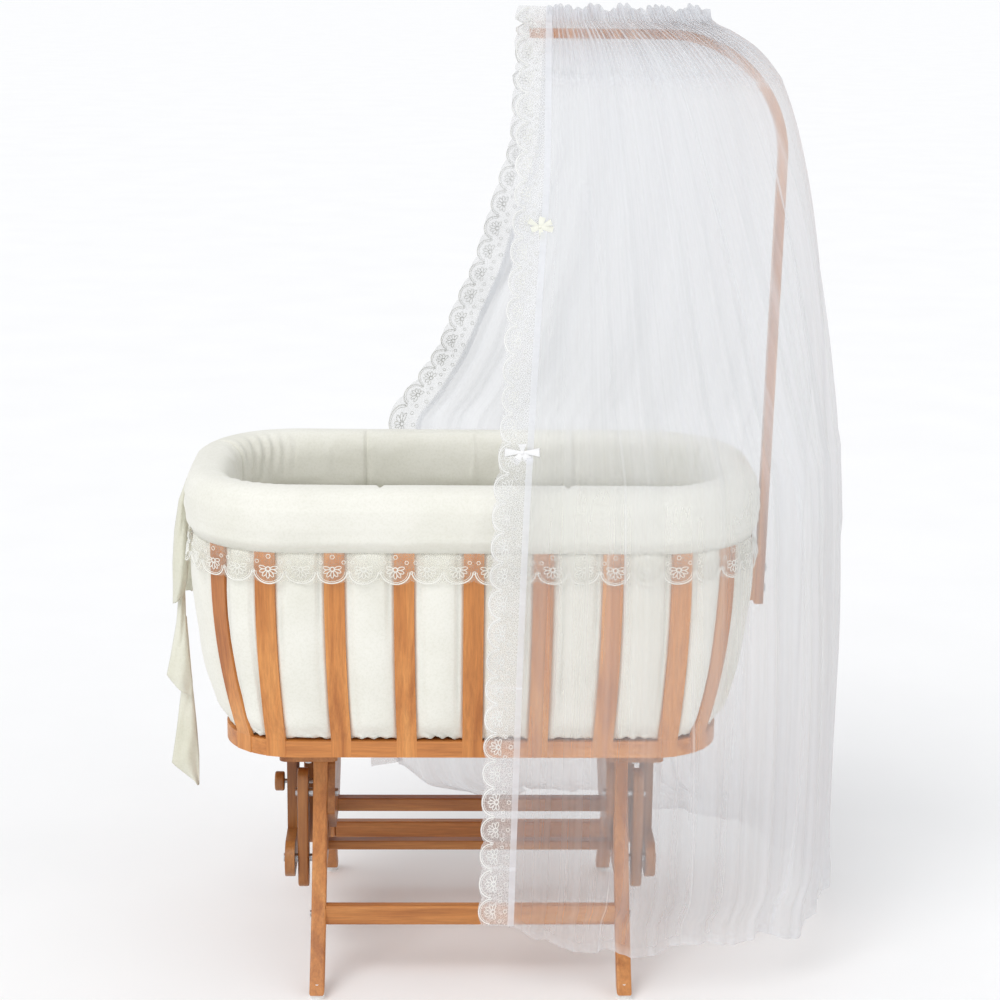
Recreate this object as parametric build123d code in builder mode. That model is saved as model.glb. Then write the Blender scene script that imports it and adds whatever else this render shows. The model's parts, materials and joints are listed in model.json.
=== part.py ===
from build123d import *
import os
from math import asin, copysign, cos, radians, sin, sqrt

os.makedirs("parts", exist_ok=True)

# Baby cradle on a glider stand, with a canopy. Millimetres, floor at Z = 0, +X towards the canopy mast,
# -Y the front. The stand carries four links, the links carry the basket, and the basket carries the mast.

# ---- Driving dimensions: stand
leg_x = 248.0               # middle of a leg's thickness
leg_thickness = 24.0
leg_foot_y = 261.0          # middle of the foot
leg_knee = (183.0, 118.0)   # a point on the sabre curve: distance out, height
leg_top_y = 78.0            # middle of the leg's top
leg_top_gap = 24.0          # leg tops below the cross boards
leg_foot_width = 30.0
leg_top_width = 40.0
wood_edge = 3.0             # rounding of wooden edges
glide_height = 9.0
glide_radius = 12.0
glide_stem_radius = 4.0
glide_stem_length = 14.0
side_rail_thickness = 18.0
side_rail_below_knee = 24.0
side_rail_height = 33.0
end_board_thickness = 12.0
end_board_below_leg_top = 8.0
end_board_height = 130.0
end_board_shoulder_drop = 80.0   # the board's widest part, below its top
end_board_past_pivot = 30.0
end_board_bottom_half = 62.0
end_rail_thickness = 16.0
end_rail_bottom = 145.0
end_rail_height = 36.0
stretcher_depth = 22.0
upper_stretcher_bottom = 220.0
upper_stretcher_height = 23.0
lower_stretcher_bottom = 150.0
lower_stretcher_height = 16.0

# ---- Driving dimensions: glider links and their pivots
pivot_y = 95.0
pivot_below_leg_top = 62.0
pivot_spacing = 116.0       # between a link's two pivots
link_gap = 8.0              # between leg and link
link_thickness = 18.0
link_width = 34.0
link_past_upper = 42.0      # wood beyond the upper pivot
link_past_lower = 50.0
pivot_bolt_radius = 4.0
bush_wall = 2.0
bush_clearance = 0.05       # radial, bolt in bush
side_clearance = 0.4        # along the pivot axis
bolt_head_radius = 7.0
bolt_head_height = 3.2
nut_radius = 6.5
nut_height = 5.0

# ---- Driving dimensions: basket
ring_half_x = 400.0
ring_half_y = 207.0
ring_corner = 115.0
ring_bottom = 390.0
ring_height = 27.0
ring_width = 40.0
panel_thickness = 8.0
panel_rebate = 10.0
flare_out_x = 52.0          # how far the slats lean out at the ends
flare_out_y = 23.0
flare_corner = 50.0         # growth of the corner radius
flare_height = 273.0        # the slats are upright above this much
slat_height = 381.0         # above the ring
slat_width = 32.0
slat_thickness = 7.0
slat_rows = 3               # long-side slats to each side of the middle one
slat_margin_ring = 86.5     # the basket's end to the outermost long-side slat
slat_margin_rim = 125.6
rail_height = 28.0
rail_width = 18.0
rail_recess = 3.0           # the rail's outer face, inside the slats' outer face
hanger_gap = 5.0            # between link and hanger
hanger_thickness = 16.0
hanger_stem_half = 42.0
hanger_foot_radius = 31.0
cross_board_inboard = 36.0  # middle of its width, inside the hanger
cross_board_width = 94.0
cross_board_half_y = 185.0
cross_board_thickness = 16.0
basket_screw_y = 25.0
knob_below_pivot = 17.0
knob_radius = 16.5
knob_thickness = 16.0
knob_gap = 7.0              # knob clear of the hanger while unlocked
stud_radius = 4.0
stud_tip_gap = 2.0          # stud clear of the leg's outer face while unlocked
stud_socket_radius = 4.5

# ---- Driving dimensions: mast
mast_foot_gap = 14.0        # middle of the mast's foot, past the bumper
mast_foot_drop = 8.0        # below the holder
mast_lean = 15.0            # from the foot to the rod's height
rod_z = 1519.0
rod_end_x = 84.0
mast_bend = 190.0
mast_thickness = 15.0
mast_width = 24.0
holder_below_bumper = 133.0
holder_height = 70.0
holder_width = 34.0
mast_screw_radius = 3.0
mast_screw_head = (6.5, 4.0)   # radius, height
mast_screw_bed = 1.0

# ---- Driving dimensions: soft parts
bumper_proud = 12.0         # past the slats' outer face
bumper_width = 75.0
bumper_below_rim = 67.0
bumper_above_rim = 38.0
bumper_round = 20.0
channel_clearance = 2.0
liner_gap = 1.5
liner_wall = 25.0
liner_floor = 10.0
mattress_thickness = 48.0
mattress_gap = 3.0
lace_offset = 4.0
lace_thickness = 3.0
lace_drop = 49.0
canopy_wall = 5.0
canopy_hem = 84.0
frill_height = 34.0
frill_thickness = 10.0

# ---- Worked out
ring_top = ring_bottom + ring_height
cross_board_bottom = ring_bottom - cross_board_thickness
leg_top = (leg_top_y, cross_board_bottom - leg_top_gap)
side_rail_y = leg_knee[0]   # middle of the front and rear rails
side_rail_bottom = leg_knee[1] - side_rail_below_knee
end_board_top = leg_top[1] - end_board_below_leg_top
end_board_shoulder = end_board_top - end_board_shoulder_drop
end_board_bottom = end_board_top - end_board_height
upper_pivot_z = leg_top[1] - pivot_below_leg_top
lower_pivot_z = upper_pivot_z - pivot_spacing
knob_z = upper_pivot_z - knob_below_pivot
hanger_foot_top = lower_pivot_z + hanger_foot_radius
leg_outer_x = leg_x + leg_thickness / 2
leg_inner_x = leg_x - leg_thickness / 2
board_inner_x = leg_inner_x - end_board_thickness
link_inner_x = leg_outer_x + link_gap
link_outer_x = link_inner_x + link_thickness
link_x = link_inner_x + link_thickness / 2
hanger_inner_x = link_outer_x + hanger_gap
hanger_outer_x = hanger_inner_x + hanger_thickness
hanger_x = hanger_inner_x + hanger_thickness / 2
cross_board_x = hanger_x - cross_board_inboard
stud_tip_x = leg_outer_x + stud_tip_gap
rim_half_x = ring_half_x + flare_out_x   # outer face of the slats where they stand upright
rim_half_y = ring_half_y + flare_out_y
rim_corner = ring_corner + flare_corner
flare_top = ring_top + flare_height
rim_top = ring_top + slat_height
slat_pitch_ring = (ring_half_x - slat_margin_ring) / slat_rows
slat_pitch_rim = (rim_half_x - slat_margin_rim) / slat_rows
bumper_half_x = rim_half_x + bumper_proud
bumper_half_y = rim_half_y + bumper_proud
bumper_corner = rim_corner + bumper_proud
bumper_bottom = rim_top - bumper_below_rim
bumper_top = rim_top + bumper_above_rim
holder_bottom = bumper_bottom - holder_below_bumper
mast_foot = (bumper_half_x + mast_foot_gap, holder_bottom - mast_foot_drop)
mast_lean_x = mast_foot[0] + mast_lean
front_back = (("front", -1), ("rear", 1))
left_right = (("left", -1), ("right", 1))
corners = [(f"{end}_{side}", sx, sy) for end, sy in front_back for side, sx in left_right]
screw_radius = 3.0
screw_head_radius = 5.5
screw_head_height = 2.5


def save(piece, name):
    """Label a finished piece and write its STEP file."""
    piece.part.label = name
    export_step(piece.part, f"parts/{name}.step")


def block(x_range, y_range, z_range, mode=Mode.ADD):
    """Box between two values on each axis, in the piece being built."""
    ranges = (x_range, y_range, z_range)
    with Locations(tuple((low + high) / 2 for low, high in ranges)):
        Box(*(high - low for low, high in ranges), mode=mode)


def bar_x(radius, x_ends, y, z, mode=Mode.ADD):
    """Round bar along X, in the piece being built."""
    with BuildSketch(Plane.YZ.offset(min(x_ends))) as section:
        with Locations((y, z)):
            Circle(radius)
    extrude(section.sketch, amount=max(x_ends) - min(x_ends), mode=mode)


def bar_z(radius, x, y, z_ends, mode=Mode.ADD):
    """Round bar along Z, in the piece being built."""
    with BuildSketch(Plane.XY.offset(min(z_ends))) as section:
        with Locations((x, y)):
            Circle(radius)
    extrude(section.sketch, amount=max(z_ends) - min(z_ends), mode=mode)


def tube_x(outer, inner, x_ends, y, z):
    """Ring along X, in the piece being built."""
    with BuildSketch(Plane.YZ.offset(min(x_ends))) as section:
        with Locations((y, z)):
            Circle(outer)
            Circle(inner, mode=Mode.SUBTRACT)
    extrude(section.sketch, amount=max(x_ends) - min(x_ends))


def group(*pieces):
    """One part of several pieces that touch but stay separate solids."""
    return Part([solid for piece in pieces for solid in piece.part.solids()])


def between_x(side, near, far):
    """A pair of X values on one side of the middle, low value first."""
    return tuple(sorted((side * near, side * far)))


def flare(z):
    """Share of the basket's outward flare that is reached at a height."""
    t = min(max((z - ring_top) / (flare_top - ring_top), 0.0), 1.0)
    return 1.0 - (1.0 - t) ** 2


def outline(z, inset=0.0):
    """Half length, half width and corner radius of the slats' outer face, moved in by inset."""
    share = flare(z)
    half_x = ring_half_x + (rim_half_x - ring_half_x) * share - inset
    half_y = ring_half_y + (rim_half_y - ring_half_y) * share - inset
    corner = ring_corner + (rim_corner - ring_corner) * share - inset
    return half_x, half_y, corner


def tub(heights, inset):
    """Smooth solid that follows the slats' outer face, moved in by inset."""
    sections = []
    for z in heights:
        half_x, half_y, corner = outline(z, inset)
        with BuildSketch(Plane.XY.offset(z)) as section:
            RectangleRounded(2 * half_x, 2 * half_y, corner)
        sections.append(section.sketch)
    with BuildPart() as solid:
        loft(sections)
    return solid.part


# ==== Stand: four sabre legs, rails, end boards and stretchers

def leg_curve(side_y, half_foot, half_top):
    """One edge of a leg's outline, or its middle line, from the foot up to the top."""
    half_knee = (half_foot + half_top) / 2
    foot = (side_y * (leg_foot_y + half_foot), glide_height)
    knee = (side_y * (leg_knee[0] + half_knee), leg_knee[1] - half_knee / 2)
    top = (side_y * (leg_top[0] + half_top), leg_top[1])
    return foot, knee, top


rail_screw_z = side_rail_bottom + side_rail_height / 2
lower_stretcher_z = lower_stretcher_bottom + lower_stretcher_height / 2
upper_stretcher_z = upper_stretcher_bottom + upper_stretcher_height / 2
legs = {}
for place, sx, sy in corners:
    with BuildPart() as leg:
        with BuildSketch(Plane.YZ.offset(sx * leg_x - leg_thickness / 2)):
            with BuildLine():
                outer = leg_curve(sy, leg_foot_width / 2, leg_top_width / 2)
                inner = leg_curve(sy, -leg_foot_width / 2, -leg_top_width / 2)
                ThreePointArc(*outer)
                Line(outer[2], inner[2])
                ThreePointArc(*reversed(inner))
                Line(inner[0], outer[0])
            make_face()
        extrude(amount=leg_thickness)
        top_corners = leg.edges().filter_by(Axis.X).sort_by(Axis.Z)[-2:]
        fillet(top_corners, radius=leg_top_width / 3)
        fillet(leg.faces().filter_by(Axis.X).edges(), radius=wood_edge)
        bar_x(pivot_bolt_radius, between_x(sx, leg_inner_x, leg_outer_x), sy * pivot_y, upper_pivot_z,
              mode=Mode.SUBTRACT)
        bar_x(screw_radius, between_x(sx, leg_inner_x, leg_outer_x), sy * side_rail_y, rail_screw_z,
              mode=Mode.SUBTRACT)
        bar_z(glide_stem_radius, sx * leg_x, sy * leg_foot_y,
              (glide_height, glide_height + glide_stem_length), mode=Mode.SUBTRACT)
    save(leg, f"leg_{place}")
    legs[place] = leg.part

with BuildPart() as foot_glides:
    for place, sx, sy in corners:
        bar_z(glide_radius, sx * leg_x, sy * leg_foot_y, (0, glide_height))
        bar_z(glide_stem_radius, sx * leg_x, sy * leg_foot_y, (0, glide_height + glide_stem_length))
save(foot_glides, "foot_glides")

rail_screw_reach = 36.0
for name, sy in front_back:
    with BuildPart() as side_rail:
        block((-leg_inner_x, leg_inner_x),
              (sy * side_rail_y - side_rail_thickness / 2, sy * side_rail_y + side_rail_thickness / 2),
              (side_rail_bottom, side_rail_bottom + side_rail_height))
        fillet(side_rail.edges().filter_by(Axis.X), radius=wood_edge)
        for side, sx in left_right:
            bar_x(screw_radius, between_x(sx, leg_inner_x - rail_screw_reach, leg_inner_x),
                  sy * side_rail_y, rail_screw_z, mode=Mode.SUBTRACT)
    save(side_rail, f"{name}_lower_rail")

board_top_half = leg_top[0] + leg_top_width / 3
board_shoulder_half = pivot_y + end_board_past_pivot
for side, sx in left_right:
    with BuildPart() as end_board:
        with BuildSketch(Plane.YZ.offset(min(sx * leg_inner_x, sx * board_inner_x))) as outline_face:
            with BuildLine():
                Polyline((-board_top_half, end_board_top), (board_top_half, end_board_top),
                         (board_shoulder_half, end_board_shoulder),
                         (end_board_bottom_half, end_board_bottom),
                         (-end_board_bottom_half, end_board_bottom),
                         (-board_shoulder_half, end_board_shoulder),
                         close=True)
            make_face()
            fillet(outline_face.vertices(), radius=10.0)
        extrude(amount=end_board_thickness)
        for sy in (-1, 1):
            bar_x(pivot_bolt_radius, between_x(sx, board_inner_x, leg_inner_x), sy * pivot_y,
                  upper_pivot_z, mode=Mode.SUBTRACT)
        bar_x(stud_socket_radius, between_x(sx, board_inner_x, leg_inner_x), 0, knob_z,
              mode=Mode.SUBTRACT)
        bar_x(screw_radius, between_x(sx, board_inner_x, leg_inner_x), 0, upper_stretcher_z,
              mode=Mode.SUBTRACT)
    save(end_board, f"end_board_{side}")

for side, sx in left_right:
    with BuildPart() as end_rail:
        block((sx * leg_x - end_rail_thickness / 2, sx * leg_x + end_rail_thickness / 2),
              (-leg_knee[0], leg_knee[0]), (end_rail_bottom, end_rail_bottom + end_rail_height))
        for row, _ in front_back:
            add(legs[f"{row}_{side}"], mode=Mode.SUBTRACT)
        bar_x(screw_radius, (sx * leg_x - end_rail_thickness / 2, sx * leg_x + end_rail_thickness / 2),
              0, lower_stretcher_z, mode=Mode.SUBTRACT)
    end_rail.part = Part([end_rail.part.solids().sort_by(SortBy.VOLUME)[-1]])
    save(end_rail, f"end_rail_{side}")

end_rail_inner_x = leg_x - end_rail_thickness / 2
stretchers = (("upper_stretcher", board_inner_x, upper_stretcher_bottom, upper_stretcher_height),
              ("lower_stretcher", end_rail_inner_x, lower_stretcher_bottom, lower_stretcher_height))
for name, half_x, bottom, height in stretchers:
    with BuildPart() as stretcher:
        block((-half_x, half_x), (-stretcher_depth / 2, stretcher_depth / 2), (bottom, bottom + height))
        fillet(stretcher.edges().filter_by(Axis.X), radius=wood_edge)
        for side, sx in left_right:
            bar_x(screw_radius, between_x(sx, half_x - rail_screw_reach, half_x), 0, bottom + height / 2,
                  mode=Mode.SUBTRACT)
    save(stretcher, name)

with BuildPart() as stand_screws:
    end_rail_outer_x = leg_x + end_rail_thickness / 2
    for side, sx in left_right:
        seats = [(sy * side_rail_y, rail_screw_z, leg_outer_x, leg_inner_x) for sy in (-1, 1)]
        seats.append((0, lower_stretcher_z, end_rail_outer_x, end_rail_inner_x))
        seats.append((0, upper_stretcher_z, leg_inner_x, board_inner_x))
        for y, z, head_x, joint_x in seats:
            bar_x(screw_radius, between_x(sx, joint_x - rail_screw_reach, head_x), y, z)
            bar_x(screw_head_radius, between_x(sx, head_x, head_x + screw_head_height), y, z)
save(stand_screws, "stand_screws")

# Bolt from the board's inner face through the leg, a spacer and the link's bush to a low round head.
with BuildPart() as upper_pivot_bolts:
    for place, sx, sy in corners:
        head_x = link_outer_x + side_clearance
        bar_x(pivot_bolt_radius, between_x(sx, board_inner_x - nut_height, head_x), sy * pivot_y,
              upper_pivot_z)
        bar_x(bolt_head_radius, between_x(sx, head_x, head_x + bolt_head_height), sy * pivot_y,
              upper_pivot_z)
with BuildPart() as upper_spacers:
    for place, sx, sy in corners:
        tube_x(bolt_head_radius, pivot_bolt_radius,
               between_x(sx, leg_outer_x, link_inner_x - side_clearance), sy * pivot_y, upper_pivot_z)
        tube_x(nut_radius, pivot_bolt_radius, between_x(sx, board_inner_x - nut_height, board_inner_x),
               sy * pivot_y, upper_pivot_z)
upper_pivot_bolts.part = group(upper_pivot_bolts, upper_spacers)
save(upper_pivot_bolts, "upper_pivot_bolts")

# ==== Glider links, each with its two bushes

bush_radius = pivot_bolt_radius + bush_clearance + bush_wall
for place, sx, sy in corners:
    with BuildPart() as link:
        with BuildSketch(Plane.YZ.offset(sx * link_x - link_thickness / 2)):
            link_low = lower_pivot_z - link_past_lower
            link_high = upper_pivot_z + link_past_upper
            with Locations((sy * pivot_y, (link_low + link_high) / 2)):
                RectangleRounded(link_width, link_high - link_low, link_width / 2 - 0.5)
        extrude(amount=link_thickness)
        fillet(link.faces().filter_by(Axis.X).edges(), radius=wood_edge)
        for z in (upper_pivot_z, lower_pivot_z):
            bar_x(bush_radius, between_x(sx, link_inner_x, link_outer_x), sy * pivot_y, z,
                  mode=Mode.SUBTRACT)
    save(link, f"link_{place}")
    with BuildPart() as link_bushes:
        for z in (upper_pivot_z, lower_pivot_z):
            tube_x(bush_radius, pivot_bolt_radius + bush_clearance,
                   between_x(sx, link_inner_x, link_outer_x), sy * pivot_y, z)
    save(link_bushes, f"link_bushes_{place}")

# ==== Basket: slats first, because the ring and the rim rail are notched for them

def slat_plane(row, side_x, side_y, z):
    """Plane at a height on a slat's outer face, its Y direction pointing into the basket."""
    half_x, half_y, corner = outline(z)
    along = row * (slat_pitch_ring + (slat_pitch_rim - slat_pitch_ring) * flare(z))
    if side_x and side_y:
        turn = radians(45)
        out_x, out_y = side_x * sin(turn), side_y * cos(turn)
        middle = (side_x * (half_x - corner) + corner * out_x, side_y * (half_y - corner) + corner * out_y, z)
    elif side_x:
        out_x, out_y = side_x, 0
        middle = (side_x * half_x, 0, z)
    else:
        into_corner = max(abs(along) - (half_x - corner), 0)
        turn = asin(into_corner / corner)
        out_x, out_y = copysign(sin(turn), along), side_y * cos(turn)
        middle = (along, side_y * (half_y - corner) + corner * out_y, z)
    return Plane(origin=middle, x_dir=(-out_y, out_x, 0), z_dir=(0, 0, 1))


def slat_piece(row, side_x, side_y, z_from, z_to, mode=Mode.ADD):
    """Upright length of a slat, in the piece being built."""
    with BuildSketch(slat_plane(row, side_x, side_y, z_from)) as section:
        Rectangle(slat_width, slat_thickness, align=(Align.CENTER, Align.MIN))
    extrude(section.sketch, amount=z_to - z_from, mode=mode)


def slat_into(row, side_x, side_y):
    """A whole slat, bent outwards above the ring, in the piece being built."""
    sections = []
    for step in range(5):
        z = ring_top + (flare_top - ring_top) * step / 4
        with BuildSketch(slat_plane(row, side_x, side_y, z)) as section:
            Rectangle(slat_width, slat_thickness, align=(Align.CENTER, Align.MIN))
        sections.append(section.sketch)
    loft(sections)
    slat_piece(row, side_x, side_y, ring_bottom, ring_top)
    slat_piece(row, side_x, side_y, flare_top, rim_top)


slats = [(f"slat_{name}_{row + slat_rows + 1}", row, 0, sy)
         for name, sy in front_back for row in range(-slat_rows, slat_rows + 1)]
slats += [(f"slat_end_{side}", 0, sx, 0) for side, sx in left_right]
corner_places = [(0, sx, sy) for _, sx, sy in corners]
every_place = [slat[1:] for slat in slats] + corner_places

holder_top = holder_bottom + holder_height
mast_screw_heights = (holder_bottom + holder_height / 4, holder_top - holder_height / 4)
lean = mast_lean / (rod_z - mast_foot[1])


def mast_x(z):
    """X of the mast's centre line at a height below its bend."""
    return mast_foot[0] + lean * (z - mast_foot[1])


def mast_inner_x(z):
    """X of the mast's face towards the basket, at a height below its bend."""
    return mast_x(z) - mast_thickness / 2 * sqrt(1 + lean ** 2)


end_slat_right = None
for name, row, sx, sy in slats:
    with BuildPart() as slat:
        slat_into(row, sx, sy)
        if name == "slat_end_right":
            for z in mast_screw_heights:
                bar_x(mast_screw_radius, (outline(z)[0] - slat_thickness, mast_x(z)), 0, z,
                      mode=Mode.SUBTRACT)
            end_slat_right = slat.part
    save(slat, name)

with BuildPart() as corner_slats:
    for row, sx, sy in corner_places:
        slat_into(row, sx, sy)
save(corner_slats, "corner_slats")

panel_inset = ring_width - panel_rebate
ring_screw_y = ring_half_y - ring_width + 12.0
ring_screw_depth = 14.0
hanger_screw_length = 45.0
with BuildPart() as base_ring:
    with BuildSketch(Plane.XY.offset(ring_bottom)):
        RectangleRounded(2 * ring_half_x, 2 * ring_half_y, ring_corner)
        RectangleRounded(2 * (ring_half_x - ring_width), 2 * (ring_half_y - ring_width),
                         ring_corner - ring_width, mode=Mode.SUBTRACT)
    extrude(amount=ring_height)
    with BuildSketch(Plane.XY.offset(ring_top)):
        RectangleRounded(2 * (ring_half_x - panel_inset), 2 * (ring_half_y - panel_inset),
                         ring_corner - panel_inset)
    extrude(amount=-panel_thickness, mode=Mode.SUBTRACT)
    for place in every_place:
        slat_piece(*place, ring_bottom, ring_top, mode=Mode.SUBTRACT)
    for place, sx, sy in corners:
        bar_z(screw_radius, sx * cross_board_x, sy * ring_screw_y,
              (ring_bottom, ring_bottom + ring_screw_depth), mode=Mode.SUBTRACT)
save(base_ring, "base_ring")

with BuildPart() as base_panel:
    with BuildSketch(Plane.XY.offset(ring_top - panel_thickness)):
        RectangleRounded(2 * (ring_half_x - panel_inset), 2 * (ring_half_y - panel_inset),
                         ring_corner - panel_inset)
    extrude(amount=panel_thickness)
save(base_panel, "base_panel")

with BuildPart() as top_rail:
    with BuildSketch(Plane.XY.offset(rim_top - rail_height)):
        for inset, mode in ((rail_recess, Mode.ADD), (rail_recess + rail_width, Mode.SUBTRACT)):
            RectangleRounded(2 * (rim_half_x - inset), 2 * (rim_half_y - inset), rim_corner - inset,
                             mode=mode)
    extrude(amount=rail_height)
    for place in every_place:
        slat_piece(*place, rim_top - rail_height, rim_top, mode=Mode.SUBTRACT)
save(top_rail, "top_rail")

for side, sx in left_right:
    with BuildPart() as cross_board:
        block(between_x(sx, cross_board_x - cross_board_width / 2, cross_board_x + cross_board_width / 2),
              (-cross_board_half_y, cross_board_half_y), (cross_board_bottom, ring_bottom))
        fillet(cross_board.edges().filter_by(Axis.Z), radius=12.0)
        for sy in (-1, 1):
            bar_z(screw_radius, sx * hanger_x, sy * basket_screw_y, (cross_board_bottom, ring_bottom),
                  mode=Mode.SUBTRACT)
            bar_z(screw_radius, sx * cross_board_x, sy * ring_screw_y, (cross_board_bottom, ring_bottom),
                  mode=Mode.SUBTRACT)
    save(cross_board, f"cross_board_{side}")

# Hanger: an upright stem under the cross board with a round-ended foot that carries the lower pivots.
for side, sx in left_right:
    with BuildPart() as hanger:
        with BuildSketch(Plane.YZ.offset(sx * hanger_x - hanger_thickness / 2)) as shape:
            with Locations((0, (hanger_foot_top + cross_board_bottom) / 2)):
                Rectangle(2 * hanger_stem_half, cross_board_bottom - hanger_foot_top)
            foot_low = lower_pivot_z - hanger_foot_radius
            with Locations((0, (foot_low + hanger_foot_top) / 2)):
                RectangleRounded(2 * (pivot_y + hanger_foot_radius), hanger_foot_top - foot_low,
                                 (hanger_foot_top - foot_low) / 2 - 0.5)
            inner_corners = shape.vertices().filter_by(
                lambda v: abs(abs(v.Y) - hanger_stem_half) < 0.01 and abs(v.Z - hanger_foot_top) < 0.01)
            fillet(inner_corners, radius=24.0)
        extrude(amount=hanger_thickness)
        x_ends = between_x(sx, hanger_inner_x, hanger_outer_x)
        for sy in (-1, 1):
            bar_x(pivot_bolt_radius, x_ends, sy * pivot_y, lower_pivot_z, mode=Mode.SUBTRACT)
            bar_z(screw_radius, sx * hanger_x, sy * basket_screw_y,
                  (ring_bottom - hanger_screw_length, cross_board_bottom), mode=Mode.SUBTRACT)
        if side == "left":
            bar_x(stud_radius + bush_clearance, x_ends, 0, knob_z, mode=Mode.SUBTRACT)
    save(hanger, f"hanger_{side}")

with BuildPart() as basket_screws:
    for place, sx, sy in corners:
        bar_z(screw_radius, sx * hanger_x, sy * basket_screw_y,
              (ring_bottom - hanger_screw_length, ring_bottom))
        bar_z(screw_head_radius, sx * hanger_x, sy * basket_screw_y,
              (ring_bottom, ring_bottom + screw_head_height))
        bar_z(screw_radius, sx * cross_board_x, sy * ring_screw_y,
              (cross_board_bottom, ring_bottom + ring_screw_depth))
        bar_z(screw_head_radius, sx * cross_board_x, sy * ring_screw_y,
              (cross_board_bottom - screw_head_height, cross_board_bottom))
save(basket_screws, "basket_screws")

# Bolt from a round head outside the hanger through a spacer and the link's bush to a nut.
with BuildPart() as lower_pivot_bolts:
    for place, sx, sy in corners:
        nut_x = link_inner_x - side_clearance
        bar_x(pivot_bolt_radius, between_x(sx, nut_x - nut_height, hanger_outer_x), sy * pivot_y,
              lower_pivot_z)
        bar_x(bolt_head_radius, between_x(sx, hanger_outer_x, hanger_outer_x + bolt_head_height),
              sy * pivot_y, lower_pivot_z)
with BuildPart() as lower_spacers:
    for place, sx, sy in corners:
        nut_x = link_inner_x - side_clearance
        tube_x(bolt_head_radius, pivot_bolt_radius,
               between_x(sx, link_outer_x + side_clearance, hanger_inner_x), sy * pivot_y, lower_pivot_z)
        tube_x(nut_radius, pivot_bolt_radius, between_x(sx, nut_x - nut_height, nut_x), sy * pivot_y,
               lower_pivot_z)
lower_pivot_bolts.part = group(lower_pivot_bolts, lower_spacers)
save(lower_pivot_bolts, "lower_pivot_bolts")

# ==== Lock: a wooden knob on a stud that passes through the left hanger

knob_inner_x = hanger_outer_x + knob_gap
knob_outer_x = knob_inner_x + knob_thickness
stud_in_knob = 10.0
with BuildPart() as lock_knob:
    bar_x(knob_radius, (-knob_outer_x, -knob_inner_x), 0, knob_z)
    fillet(lock_knob.edges().filter_by(GeomType.CIRCLE), radius=wood_edge)
    bar_x(stud_radius, (-knob_inner_x - stud_in_knob, -knob_inner_x), 0, knob_z, mode=Mode.SUBTRACT)
save(lock_knob, "lock_knob")

with BuildPart() as lock_stud:
    bar_x(stud_radius, (-knob_inner_x - stud_in_knob, -stud_tip_x), 0, knob_z)
save(lock_stud, "lock_stud")

# ==== Mast: a leaning post that bends over into a level rod

with BuildPart() as mast:
    with BuildLine() as mast_path:
        FilletPolyline((mast_foot[0], 0, mast_foot[1]), (mast_lean_x, 0, rod_z), (rod_end_x, 0, rod_z),
                       radius=mast_bend)
    with BuildSketch(Plane(origin=mast_path.line @ 0, x_dir=(0, 1, 0), z_dir=mast_path.line % 0)):
        RectangleRounded(mast_width, mast_thickness, wood_edge)
    sweep()
    for z in mast_screw_heights:
        face_x = mast_x(z) + mast_thickness / 2 - mast_screw_bed
        bar_x(mast_screw_radius, (mast_x(z) - mast_thickness, face_x), 0, z, mode=Mode.SUBTRACT)
        bar_x(mast_screw_head[0], (face_x, face_x + mast_screw_head[1]), 0, z, mode=Mode.SUBTRACT)
save(mast, "mast")

with BuildPart() as mast_holder:
    with BuildSketch(Plane.XZ.offset(-holder_width / 2)):
        with BuildLine():
            Polyline((outline(holder_bottom)[0] - slat_thickness / 2, holder_bottom),
                     (mast_inner_x(holder_bottom), holder_bottom), (mast_inner_x(holder_top), holder_top),
                     (outline(holder_top)[0] - slat_thickness / 2, holder_top), close=True)
        make_face()
    extrude(amount=holder_width)
    for z in mast_screw_heights:
        bar_x(mast_screw_radius, (outline(z)[0] - slat_thickness, mast_x(z)), 0, z, mode=Mode.SUBTRACT)
    add(end_slat_right, mode=Mode.SUBTRACT)
save(mast_holder, "mast_holder")

with BuildPart() as mast_screws:
    for z in mast_screw_heights:
        face_x = mast_x(z) + mast_thickness / 2 - mast_screw_bed
        bar_x(mast_screw_radius, (outline(z)[0] - slat_thickness / 2, face_x), 0, z)
        bar_x(mast_screw_head[0], (face_x, face_x + mast_screw_head[1]), 0, z)
save(mast_screws, "mast_screws")

# ==== Soft parts, as plain closed solids

liner_outer = slat_thickness + liner_gap
liner_heights = [ring_top + (flare_top - ring_top) * step / 4 for step in range(5)] + [bumper_bottom]
liner_inner = liner_outer + liner_wall
liner_hollow = tub(liner_heights, liner_inner)
liner_seam_x = (ring_half_x - ring_corner + rim_half_x - rim_corner) / 2
liner_seam_y = (ring_half_y - ring_corner + rim_half_y - rim_corner) / 2
# Four wall panels, four corner panels and a base, sewn edge to edge.
with BuildPart() as liner_panels:
    add(tub(liner_heights, liner_outer))
    add(liner_hollow, mode=Mode.SUBTRACT)
    for seam in (-1, 1):
        split(bisect_by=Plane.YZ.offset(seam * liner_seam_x), keep=Keep.BOTH)
        split(bisect_by=Plane.XZ.offset(seam * liner_seam_y), keep=Keep.BOTH)
with BuildPart() as liner_base:
    add(liner_hollow)
    split(bisect_by=Plane.XY.offset(ring_top + liner_floor), keep=Keep.BOTTOM)
liner_panels.part = group(liner_panels, liner_base)
save(liner_panels, "liner")

mattress_bottom = ring_top + liner_floor
with BuildPart() as mattress:
    half_x, half_y, corner = outline(mattress_bottom, liner_inner + mattress_gap)
    with BuildSketch(Plane.XY.offset(mattress_bottom)):
        RectangleRounded(2 * half_x, 2 * half_y, corner)
    extrude(amount=mattress_thickness)
    fillet(mattress.faces().sort_by(Axis.Z)[-1].edges(), radius=14.0)
save(mattress, "mattress")

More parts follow.
